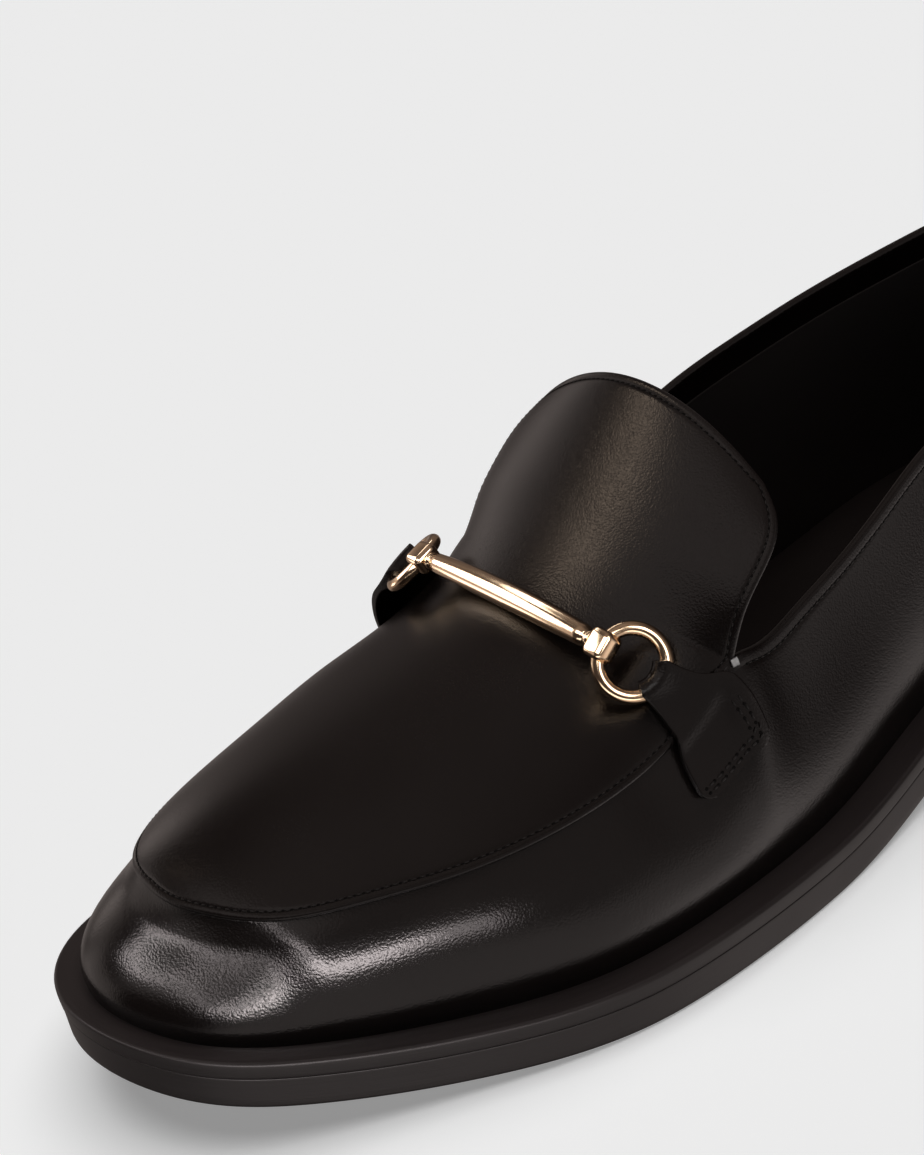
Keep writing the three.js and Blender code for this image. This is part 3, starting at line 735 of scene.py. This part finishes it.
# The sole
def sole_layer(name, profile, finish, start=0.0, foot=False, count=400):
    """A layer of the sole: rows of how far in from the edge and how high over the underside. Above and below,
    further rows run in to a line along the middle of the shoe."""
    w = (np.arange(count) + 0.5) / count
    more = _side(np.clip(along(edge(w)[0][:, 1]), 0, 1))[:, 0] if foot else 0
    rows = []
    for inset, z in profile:
        at = edge(w, inset + more)[0]
        at[:, 2] = underside(at[:, 1]) + z + start
        rows.append(at)
    rim_line = edge(w, more + 3)[0]
    middle = (rim_line + rim_line[::-1]) / 2
    reach = LENGTH / 2 - 16
    middle[:, 1] = reach * np.tanh(middle[:, 1] / reach)
    rows = ([inwards(rows[0], middle, k, profile[0][1] + start) for k in MIDDLE_STEPS[::-1]] + rows
            + [inwards(rows[-1], middle, k, profile[-1][1] + start) for k in MIDDLE_STEPS])
    at = closed(np.array(rows), 1)
    run = lengths(np.append(edge(w)[0], edge(w[:1])[0], 0))
    rise = np.append(0, np.cumsum(np.linalg.norm(np.diff(at, axis=0), axis=2).mean(1)))
    uv = np.stack(np.broadcast_arrays(run[None], rise[:, None]), -1) * MM
    return drawn(name, at, [finish], uv)


MIDDLE_STEPS = np.linspace(0, 1, 6)[1:]


def inwards(row, middle, k, over):
    at = lerp(row, middle, k)
    at[:, 2] = underside(at[:, 1]) + over
    return at


def arc_of(inset, z, r, start, end, steps=5):
    """Corners of a rounded edge: its middle, its radius and the angles between which it turns."""
    a = np.radians(np.linspace(start, end, steps))
    return [(inset - r * math.cos(q), z + r * math.sin(q)) for q in a]


def sole():
    top_of = SOLE - WELT
    sole_layer("outsole_edge",
               [(1.6, 0)] + arc_of(1.0, 0.8, 0.8, -80, 0) + [(0.2, 2.0), (0.2, 3.6), (0.2, top_of - 0.75)]
               + arc_of(0.42, top_of - 0.4, 0.22, 0, 90, 4) + [(1.4, top_of - 0.17)], rubber)
    sole_layer("welt_edge",
               [(1.4, -0.17)] + arc_of(0.3, 0.1, 0.22, -90, 0, 4) + [(0.05, 0.5), (0.02, 1.0), (0.0, 1.6)]
               + arc_of(0.75, WELT - 0.75, 0.75, 0, 90, 7)
               + [(1.6, WELT - 0.02), (3.2, WELT - 0.05), (6.5, WELT - 0.1)],
               rubber, top_of)
    sole_layer("sock", [(SKIN + 0.75, 0.0), (SKIN + 0.4, INSOLE - 0.6), (SKIN + 0.55, INSOLE - 0.2),
                        (SKIN + 0.95, INSOLE)],
               lining, SOLE + GAP, True, 300)


def heel_block():
    w = np.linspace(0, 1, 900, endpoint=False)
    w = w[along(edge(w)[0][:, 1]) > BREAST]
    outer, inner = w[:len(w) // 2], w[::-1][:len(w) // 2]
    profile = [(3.4, 0.0)] + arc_of(2.2, 0.7, 0.7, -80, 0, 4) + [(1.3, 2.4), (1.0, 6.0),
                                                                 (0.8, HEEL - 0.75), (0.9, HEEL - 0.3),
                                                                 (1.3, HEEL - 0.1)]
    ways = np.linspace(0, 1, 9)[1:-1]
    loops = []
    for a, b in zip(outer, inner):
        up = [edge(a, i)[0] + UP * z for i, z in profile]
        back = [edge(b, i)[0] + UP * z for i, z in reversed(profile)]
        loops.append(up + [lerp(up[-1], back[0], k) for k in ways] + back
                     + [lerp(back[-1], up[0], k) for k in ways])
    at = closed(np.array(loops), 1).transpose(1, 0, 2)
    return drawn("heel_block", at, [rubber])


# The bit
BIT = {"x": -1.5, "section": 7.362, "gap": 0.45, "half": 26.75, "arch": 0.8}
BAR = [(0, 2.35), (0.45, 2.26), (0.8, 2.06), (0.97, 1.9), (1, 1.6)]
NECK = {"length": 1.7}
SADDLE = {"along": 4.7, "across": 5.2, "thick": 4.3, "round": 1.2}
RING = {"middle": 5.68, "wire": 1.24}
HANG = {"outer": {"fall": (0.625, 0.505, -0.595), "face": (0.777, -0.438, 0.452), "fold": (-46, 34)},
        "inner": {"fall": (-0.89, 0.065, -0.5), "face": (-0.409, -0.39, 0.812), "fold": (-44, 44)}}
_bit_y, _bit_z = _crest(BIT["section"])[:2]


def bar_path(x):
    x = np.asarray(x, float)
    return vec(BIT["x"] + x, _bit_y,
               _bit_z + BAR[0][1] + BIT["gap"] - BIT["arch"] * (x / BIT["half"]) ** 2)


def slope_of(x):
    return unit(bar_path(np.asarray(x) + 0.01) - bar_path(np.asarray(x) - 0.01))


def hung(m, hang):
    """Where a ring hangs: its saddle, its middle, and its own three directions."""
    fall = unit(np.array(hang["fall"]))
    face = np.array(hang["face"])
    face = unit(face - fall * (face @ fall))
    saddle = bar_path(m * BIT["half"])
    return {"fall": fall, "face": face, "saddle": saddle, "middle": saddle + fall * RING["middle"],
            "way": np.cross(face, fall)}


RINGS = {"outer": hung(1, HANG["outer"]), "inner": hung(-1, HANG["inner"])}


def out_of(ring, degrees):
    q = np.radians(degrees)[..., None]
    return ring["fall"] * np.cos(q) + ring["way"] * np.sin(q)


def bit_bar():
    neck = BIT["half"] - SADDLE["along"] / 2 - NECK["length"]
    body = cubic([r[0] for r in BAR[:4]], [[r[1]] for r in BAR[:4]])
    stations = [(x * neck, float(body(x)[0])) for x in np.linspace(0, 0.965, 22)]
    stations += [(neck * 0.98, 1.64), (neck * 0.992, 1.52), (neck, 1.36), (neck + 0.1, 1.25),
                 (neck + 0.45, 1.22),
                 (neck + 0.6, 1.28), (neck + 0.68, 1.45), (neck + 0.8, 1.58), (neck + 1.1, 1.62),
                 (neck + 1.4, 1.58),
                 (neck + 1.52, 1.45), (neck + 1.6, 1.28), (neck + 2.2, 1.22)]
    x = np.array([-a for a, _ in reversed(stations[1:])] + [a for a, _ in stations])
    r = np.array([b for _, b in reversed(stations[1:])] + [b for _, b in stations])
    q = np.linspace(0, 2 * math.pi, 33)[:, None]
    d = slope_of(x)
    side_way = np.array([0.0, 1.0, 0.0])
    up_way = np.cross(d, side_way)
    at = bar_path(x)[None] + r[None, :, None] * (np.cos(q)[..., None] * side_way + np.sin(q)[..., None]
                                                 * up_way[None])
    return drawn("bit_bar_turned", at, [gold])


def turned(rows):
    """A 4 x 4 matrix from three directions and a place, in metres."""
    a, b, c, at = (np.asarray(v, float) for v in rows)
    return Matrix([[a[k], b[k], c[k], at[k] * MM] for k in range(3)] + [[0, 0, 0, 1]])


def saddle(name, m):
    ring = RINGS[name]
    b = slope_of(m * BIT["half"]) * m
    w = unit(ring["way"] - b * (ring["way"] @ b))
    n = np.cross(b, w)
    mesh = bmesh.new()
    bmesh.ops.create_cube(mesh, size=1)
    bmesh.ops.scale(mesh, vec=Vector((SADDLE["along"], SADDLE["across"], SADDLE["thick"])) * MM,
                    verts=mesh.verts)
    bmesh.ops.bevel(mesh, geom=mesh.edges[:], offset=SADDLE["round"] * MM, offset_type="OFFSET",
                    affect="EDGES", segments=7,
                    profile=0.5, material=-1)
    for face in mesh.faces:
        face.smooth = True
    bmesh.ops.transform(mesh, matrix=turned([b, w, n, ring["saddle"]]), verts=mesh.verts)
    return made("saddle_" + name, mesh, [gold])


def ring_wire(name):
    ring = RINGS[name]
    mesh = bmesh.new()
    bmesh.ops.create_circle(mesh, segments=20, radius=RING["wire"] * MM)
    bmesh.ops.transform(mesh, matrix=turned([ring["fall"], ring["face"], ring["way"],
                                             ring["middle"] + ring["fall"] * RING["middle"]]),
                        verts=mesh.verts)
    bmesh.ops.spin(mesh, geom=mesh.verts[:] + mesh.edges[:], cent=Vector(ring["middle"] * MM),
                   axis=Vector(ring["face"]),
                   angle=2 * math.pi, steps=72, use_merge=True)
    for face in mesh.faces:
        face.smooth = True
    return made("ring_" + name, mesh, [gold])


# The straps
STRAP = {"thick": 1.5, "fold": 2.45}
TAB = {"outer": [(0.87, 7.32, 8.46, 1.6), (0.94, 7.27, 8.6, 0.8), (1, 7.23, 8.76, 0.4),
                 (1.08, 7.2, 8.92, 0.62),
                 (1.18, 7.17, 9.02, 0.42), (1.28, 7.18, 9.06, 0.36), (1.35, 7.26, 9.02, 0.36),
                 (1.385, 7.46, 8.86, 0.36)],
       "inner": [(0.83, 6.52, 7.94, 4.9), (0.91, 6.44, 8, 4.6), (1, 6.38, 8.1, 3.4),
                 (1.08, 6.36, 8.24, 2.7),
                 (1.18, 6.4, 8.42, 1.7), (1.28, 6.46, 8.54, 0.8), (1.36, 6.56, 8.5, 0.36),
                 (1.395, 6.78, 8.34, 0.36)]}


def on_shoe(m, down, t, lift):
    """A place over the top, or past 1 down the side, at some height over the leather."""
    down, t, lift = np.broadcast_arrays(np.asarray(down, float), t, lift)
    over = top(t, m * np.minimum(down, 1)) + top_face(t, m * np.minimum(down, 1)) * lift[..., None]
    w = (outer_way if m > 0 else inner_way)(np.minimum(t, SEAMED + 0.06))[..., 0]
    v = 2 - np.maximum(down, 1)
    beside = side(w, v) + side_face(w, v) * lift[..., None]
    return np.where((down <= 1)[..., None], over, beside)


def strap_skins(name, m, c):
    """The strap's upper and under surface, row by row from the ring to its free end, at the shares c."""
    ring, turns = RINGS[name], HANG[name]["fold"] if m > 0 else HANG[name]["fold"][::-1]
    q = lerp(turns[0], turns[1], c)
    wire = ring["middle"] + out_of(ring, q) * RING["middle"]
    uppers, unders = [wire + ring["face"] * (STRAP["fold"] - 0.1)], [wire - ring["face"] * STRAP["thick"]
                                                                     * 0.9]
    for down, front, rear, lift in TAB[name]:
        t = lerp(front, rear, c)
        uppers.append(on_shoe(m, down, t, lift + STRAP["thick"]))
        unders.append(on_shoe(m, down, t, lift))
    return np.array(uppers), np.array(unders), wire, out_of(ring, q), ring


def strap_lines(name, m, c):
    """The strap's upper and under surface as curves from the ring to the free end, and how long it is."""
    uppers, unders, wire, out, ring = strap_skins(name, m, c)
    at = np.append(0, np.cumsum(np.linalg.norm(np.diff((uppers + unders) / 2, axis=0), axis=2).mean(1)))
    shape = (-1, len(c), 3)
    high, low = cubic(at, uppers.reshape(len(at), -1)), cubic(at, unders.reshape(len(at), -1))
    return lambda x: high(x).reshape(shape), lambda x: low(x).reshape(shape), at[-1], wire, out, ring


def strap_grid(name, m, c, squeeze):
    """Closed loops from the fold over the tab to its end and back under it, one for each share c. squeeze is
    how much of the thickness is left at each."""
    high, low, long, wire, out, ring = strap_lines(name, m, c)
    rows = np.concatenate([np.linspace(0, long - 1.2, 46), long - np.array([0.9, 0.6, 0.35])])
    above, under, tip_above, tip_under = high(rows), low(rows), high(np.array([long])), low(np.array([long]))
    end = np.concatenate([lerp(tip_above, tip_under, k) for k in (0.22, 0.5, 0.78)])
    turns = np.radians(np.linspace(90, -78, 11))[1:]
    nose = [wire - out * STRAP["fold"] * math.cos(q) + ring["face"] * STRAP["fold"] * math.sin(q)
            for q in turns]
    loop = np.concatenate([nose[::-1], above, end, under[::-1]])
    flat = (above + under) / 2
    mid = np.concatenate([[wire - out * STRAP["fold"] * math.cos(q) for q in turns[::-1]], flat,
                          np.repeat((tip_above + tip_under) / 2, 3, 0), flat[::-1]])
    return mid + (loop - mid) * squeeze[:, None]


def strap(name, m):
    r = 0.022
    c = np.concatenate([[-0.001, -0.001, 0, 0.25 * r, r], np.linspace(0, 1, 19)[1:-1],
                        [1 - r, 1 - 0.25 * r, 1, 1.001, 1.001]])
    squeeze = np.concatenate([[0, 0.55, 0.8, 0.93, 1], np.ones(17), [1, 0.93, 0.8, 0.55, 0]])
    at = closed(strap_grid(name, m, c, squeeze))
    run = np.append(0, np.cumsum(np.linalg.norm(np.diff(at, axis=0), axis=2).mean(1)))
    width = np.linalg.norm(on_shoe(m, 1.0, TAB[name][2][1], 1) - on_shoe(m, 1.0, TAB[name][2][2], 1))
    uv = np.stack(np.broadcast_arrays(run[:, None], c[None] * width), -1) * MM
    return drawn("strap_" + name + "_leather", at, [strap_calf], uv)


# All the sewing
# half lengths across, along and up, and how deep it sinks, of a thread and of a hole's painted shade (a dark
# blob at the needle hole)
EDGE_SEW = ((0.42, 0.15, 0.13, 0.07), (0.3, 0.2, 0.08, 0.04))
TAB_SEW = ((0.55, 0.2, 0.18, 0.08), (0.34, 0.3, 0.1, 0.05))
PITCH = 1.5


def sewing():
    total = border(10)[2]
    t, s, p, inward, face = plate_edge(round(total / PITCH))
    row = plate_at((t, s, p, inward, face), STITCH_IN, np.full(len(t), 0.12))
    faces = top_face(*locate(row[:, 0], row[:, 1]))
    ways = unit(np.roll(row, -1, 0) - np.roll(row, 1, 0))
    first = sewn("apron_and_tongue_sewing", row, ways, faces, EDGE_SEW)
    w = np.linspace(THROAT_OUTER + 0.004, THROAT_INNER - 0.004, 2000)
    w = spaced(w, lengths(side(w, 1.0)), round(lengths(side(w, 1.0))[-1] / PITCH))
    size = np.linalg.norm(side_top(w)[0] - side(w, 0.0), axis=1)
    v = 1 - TOP_LINE["row"] / (1.05 * size)
    faces = side_face(w, v)
    row = side(w, v) - faces * (TOP_LINE["groove"] - 0.01)
    second = sewn("top_line_sewing", row, ahead_of(row), faces, EDGE_SEW)
    return [first, second, strap_sewing("outer", 1), strap_sewing("inner", -1), throat_tack()]


def strap_sewing(name, m):
    """Two rows near the free end, turned up along the rear edge."""
    c = np.linspace(0, 1, 61)
    high, _, long, *_ = strap_lines(name, m, c)
    back = np.linspace(0.3, 9.3, 46)
    skin = high(long - back)
    faces = unit(np.cross(np.gradient(skin, axis=0), np.gradient(skin, axis=1)))
    if faces[20, 30] @ side_face(np.array(0.2 if m > 0 else 0.8), 0.5) < 0:
        faces = -faces
    width = np.linalg.norm(skin[10, -1] - skin[10, 0])
    places, ways, looks = [], [], []
    for inset in (1.9, 3.0):
        corner = 1 - inset / width
        share = np.concatenate([np.linspace(0.08, corner, 60), np.full(30, corner)])
        up = np.concatenate([np.full(60, inset), np.linspace(inset, 8.0, 31)[1:]])
        run = lengths(between(skin, share, up))
        count = max(3, round(run[-1] / 1.8))
        share, up = spaced(share, run, count), spaced(up, run, count)
        row = between(skin, share, up)
        places.append(row)
        ways.append(ahead_of(row))
        looks.append(unit(between(faces, share, up)))
    return sewn("strap_" + name + "_sewing", *(np.concatenate(x) for x in (places, ways, looks)), TAB_SEW)


def between(grid, share, back):
    """The grid of a strap's end (rows every 0.2 mm from 0.3, 61 shares) read between its corners."""
    i, j = (back - 0.3) / 0.2, share * 60
    i0, j0 = np.clip(i.astype(int), 0, 44), np.clip(j.astype(int), 0, 59)
    fi, fj = (i - i0)[:, None], (j - j0)[:, None]
    return (grid[i0, j0] * (1 - fi) * (1 - fj) + grid[i0 + 1, j0] * fi * (1 - fj)
            + grid[i0, j0 + 1] * (1 - fi) * fj + grid[i0 + 1, j0 + 1] * fi * fj)


def throat_tack():
    """The small pale tack of thread at the outer corner of the throat."""
    outer = ends(np.array(float(SEAMED)))[0]
    w = np.array(THROAT_OUTER + 0.004)
    ahead = unit(side(w + 0.004, 1.0) - side(w - 0.004, 1.0))
    face = side_face(w, 0.98)
    beside = np.cross(face, ahead)
    mesh = bmesh.new()
    for k in range(5):
        place = outer + ahead * (k - 2) * 0.3 + face * 0.35
        bmesh.ops.create_uvsphere(mesh, u_segments=10, v_segments=8, radius=1,
                                  matrix=turned([ahead * 0.17 * MM, face * 0.2 * MM, beside * 0.75 * MM,
                                                 place]))
    return made("throat_tack", mesh, [thread_pale])

# The floor, the lights and the camera
CAMERA = {"azimuth": 60.598, "elevation": 26.865, "roll": -12.438, "distance": 439.22,
          "target": (-76.12, -7.186, 20.0),
          "focal": 2002.4, "long_side": 1155}


def floor():
    mesh = bmesh.new()
    bmesh.ops.create_grid(mesh, x_segments=2, y_segments=2, size=12)
    data = bpy.data.meshes.new("floor")
    mesh.to_mesh(data)
    mesh.free()
    ground = bpy.data.objects.new("floor", data)
    ground.location.z = -0.0001
    bpy.context.scene.collection.objects.link(ground)
    data.materials.append(pale_floor())
    ground.visible_glossy = False


def camera():
    az, el, roll = (math.radians(CAMERA[k]) for k in ("azimuth", "elevation", "roll"))
    back = np.array([math.sin(az) * math.cos(el), -math.cos(az) * math.cos(el), math.sin(el)])
    right = np.array([math.cos(az), math.sin(az), 0])
    up = np.cross(back, right)
    tilted = right * math.cos(roll) + up * math.sin(roll)
    eye = np.array(CAMERA["target"]) + back * CAMERA["distance"]
    data = bpy.data.cameras.new("camera")
    data.sensor_width = 36
    data.lens = 36 * CAMERA["focal"] / CAMERA["long_side"]
    data.clip_start, data.clip_end = 0.01, 60
    view = bpy.data.objects.new("camera", data)
    view.matrix_world = turned([tilted, np.cross(back, tilted), back, eye])
    bpy.context.scene.collection.objects.link(view)
    bpy.context.scene.camera = view


def way_of(azimuth, elevation):
    """The way from the shoe at some turn from the toe, to the outer side, and some height, in degrees."""
    az, el = math.radians(azimuth), math.radians(elevation)
    return np.array([math.sin(az) * math.cos(el), -math.cos(az) * math.cos(el), math.sin(el)])


# The studio round the shoe as its gloss sees it: soft panels. Each has its way (azimuth, elevation), half its
# length and height, how soft its ends and its sides are, in degrees, its glow and how warm it is.
PANELS = [
    (-52, 6, 22, 16, 14, 16, 0.46, 0.3), (-92, 12, 12, 20, 16, 22, 0.22, 0.35),
    (-86, 11, 7, 12, 8, 12, 0.5, 0.3),
    (0, 86, 30, 30, 40, 40, 0.17, 0.35), (-135, 30, 26, 28, 20, 30, 0.08, 0.4),
    (98, 18, 32, 30, 24, 26, 0.19, 0.25),
    (5, 48, 36, 12, 20, 14, 0.4, 0.2), (85, -36, 50, 20, 20, 14, 0.46, 0.2),
    (0, -28, 40, 16, 20, 16, 0.14, 0.2),
    (-95, -28, 45, 16, 20, 16, 0.2, 0.3), (155, -42, 30, 12, 16, 10, 0.5, 0.2)]
DIM = 0.045


def surroundings():
    world = bpy.data.worlds.new("studio")
    bpy.context.scene.world = world
    world.use_nodes = True
    tree = world.node_tree
    tree.nodes.clear()

    def node(kind, settings=None, sockets=None):
        made_node = tree.nodes.new(kind)
        for key, value in (settings or {}).items():
            setattr(made_node, key, value)
        for key, value in (sockets or {}).items():
            if isinstance(value, bpy.types.NodeSocket):
                tree.links.new(made_node.inputs[key], value)
            else:
                made_node.inputs[key].default_value = value
        return made_node

    def beyond(line, half, soft):
        """1 within half degrees of the plane across a line, 0 past the soft border."""
        off = node("ShaderNodeVectorMath", {"operation": "DOT_PRODUCT"},
                   {0: way, 1: line}).outputs["Value"]
        off = node("ShaderNodeMath", {"operation": "ABSOLUTE"}, {0: off}).outputs[0]
        low, high = (math.sin(math.radians(max(half + k * soft / 2, 0))) for k in (-1, 1))
        return node("ShaderNodeMapRange", {"interpolation_type": "SMOOTHSTEP"},
                    {0: off, 1: low, 2: high, 3: 1.0, 4: 0.0}).outputs[0]

    def times(a, b):
        return node("ShaderNodeMath", {"operation": "MULTIPLY"}, {0: a, 1: b}).outputs[0]

    way = node("ShaderNodeTexCoord").outputs["Generated"]
    total = None
    for azimuth, elevation, long, wide, soft_ends, soft_sides, glow, warm in PANELS:
        middle, length = way_of(azimuth, elevation), way_of(azimuth + 90, 0)
        breadth = np.cross(length, middle)
        facing = node("ShaderNodeVectorMath", {"operation": "DOT_PRODUCT"},
                      {0: way, 1: middle}).outputs["Value"]
        ahead = node("ShaderNodeMath", {"operation": "GREATER_THAN"}, {0: facing, 1: 0.0}).outputs[0]
        share = times(times(beyond(length, long, soft_ends), beyond(breadth, wide, soft_sides)), ahead)
        colour = (glow, glow * (1 - 0.24 * warm - 0.06), glow * (1 - 0.42 * warm - 0.06))
        part = node("ShaderNodeVectorMath", {"operation": "SCALE"},
                    {0: colour, "Scale": share}).outputs[0]
        total = part if total is None else node("ShaderNodeVectorMath", {"operation": "ADD"},
                                                {0: total, 1: part}).outputs[0]
    total = node("ShaderNodeVectorMath", {"operation": "ADD"},
                 {0: total, 1: (DIM, DIM * 0.8, DIM * 0.76)}).outputs[0]
    seen = node("ShaderNodeBackground", {}, {"Color": total}).outputs[0]
    white = node("ShaderNodeBackground", {}, {"Color": (0.84, 0.84, 0.84, 1)}).outputs[0]
    camera_sees = node("ShaderNodeLightPath").outputs["Is Camera Ray"]
    mixed = node("ShaderNodeMixShader", {}, {0: camera_sees, 1: seen, 2: white}).outputs[0]
    node("ShaderNodeOutputWorld", {}, {"Surface": mixed})
    world.cycles_visibility.diffuse = False
    bpy.context.scene.view_settings.view_transform = "Standard"
    data = bpy.data.lights.new("daylight", "SUN")
    data.angle, data.energy = math.radians(62), 2.14
    lamp = bpy.data.objects.new("daylight", data)
    lamp.matrix_world = turned([np.array([1.0, 0, 0]), unit(np.array([0, 1.0, -0.1])),
                                unit(np.array([0, 0.1, 1.0])), np.array([0, 0, 900.0])])
    lamp.visible_glossy = lamp.visible_camera = False
    bpy.context.scene.collection.objects.link(lamp)


def softbox(name, spot, from_way, to_way, distance, wide, glow, colour, reach, shown):
    """A flat strip of light between two ways from a spot on the shoe. Its grid lets it reach only so many
    degrees to each side, only the shown pieces mirror it and nothing else is lit by it."""
    a, b = way_of(*from_way) * distance, way_of(*to_way) * distance
    middle, length = (a + b) / 2, unit(b - a)
    back = unit(middle - length * (middle @ length))
    data = bpy.data.lights.new(name, "AREA")
    data.shape = "RECTANGLE"
    data.size = np.linalg.norm(b - a) * MM
    data.size_y = 2 * math.tan(math.radians(wide / 2)) * distance * MM
    data.spread = math.radians(reach)
    data.energy, data.color = glow * data.size * data.size_y * math.pi, colour
    lamp = bpy.data.objects.new(name, data)
    lamp.matrix_world = turned([length, np.cross(back, length), back, np.array(spot) + middle])
    lamp.visible_diffuse = lamp.visible_camera = False
    bpy.context.scene.collection.objects.link(lamp)
    group = bpy.data.collections.new(name + "_shown")
    for piece in shown:
        group.objects.link(piece)
    lamp.light_linking.receiver_collection = group


camera()
floor()
surroundings()

# The shoe
upper_side = side_band()
upper_top = plate()
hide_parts("upper")
sole()
heel = heel_block()
for piece, node, slot in (("outsole_edge", "outsole", "rubber"), ("welt_edge", "welt", "rubber"),
                          ("sock", "insole", "lining"),
                          ("heel_block", "heel", "rubber")):
    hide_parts(node)
bar = bit_bar()
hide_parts("bit_bar")
for name, m in (("outer", 1), ("inner", -1)):
    saddle(name, m)
    wire = ring_wire(name)
    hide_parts("bit_ring_" + name)
    leather = strap(name, m)
    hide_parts("strap_" + name)

for stitches in sewing():
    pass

walls = [upper_side, bpy.data.objects["outsole_edge"], bpy.data.objects["welt_edge"]]
metal = [piece for piece in bpy.data.objects if piece.data and getattr(piece.data, "materials", None)
         and piece.data.materials[0] == gold]
TOE, TONGUE, OVER = (14, -118, 30), (2, -20, 72), (0, -42, 62)
PINK, WARM, WHITE = (1, 0.9, 0.9), (1, 0.78, 0.6), (1, 1, 1)
softbox("toe_left", TOE, (-62, 36), (-36, 43), 300, 5, 8.0, PINK, 180, walls)
softbox("toe_turn", TOE, (-36, 43), (-10, 50), 300, 4, 6.8, PINK, 180, walls)
softbox("toe_mid", TOE, (-10, 50), (12, 42), 300, 3.5, 7.0, PINK, 180, walls)
softbox("toe_front", TOE, (12, 42), (32, 26), 300, 3, 6.5, PINK, 180, walls)
softbox("toe_fall", TOE, (32, 26), (46, 13), 300, 4.5, 13.0, PINK, 180, walls)
softbox("toe_low", TOE, (46, 13), (57, 4), 300, 7.5, 21.0, PINK, 180, walls)
softbox("toe_side", TOE, (57, 4), (76, -1), 300, 9.5, 17.0, PINK, 180, walls)
softbox("toe_fade", TOE, (76, 0), (94, -3), 300, 12, 3.6, PINK, 180, walls)
softbox("tongue_box", TONGUE, (-52, 24), (-52, 54), 350, 15, 0.045, WARM, 16, [upper_top])
softbox("strap_box", (32, -14, 52), (20, 58), (60, 40), 300, 8, 1.6, WHITE, 180,
        [bpy.data.objects["strap_outer_leather"]])
softbox("metal_low", OVER, (-62, -15), (-44, -14), 200, 14, 2.0, WHITE, 180, metal)
softbox("metal_broad", OVER, (-78, 24), (-40, 22), 300, 30, 4.6, WHITE, 180, metal)
softbox("metal_thin", OVER, (-125, 32), (-80, 46), 300, 7, 3.0, WHITE, 180, metal)
softbox("metal_front", OVER, (-10, 45), (60, 30), 300, 22, 4.5, WHITE, 180, metal)
softbox("metal_side", OVER, (84, 5), (90, 50), 300, 20, 4.5, WHITE, 180, metal)
softbox("metal_floor", OVER, (10, -16), (70, -16), 200, 14, 1.8, WHITE, 180, metal)
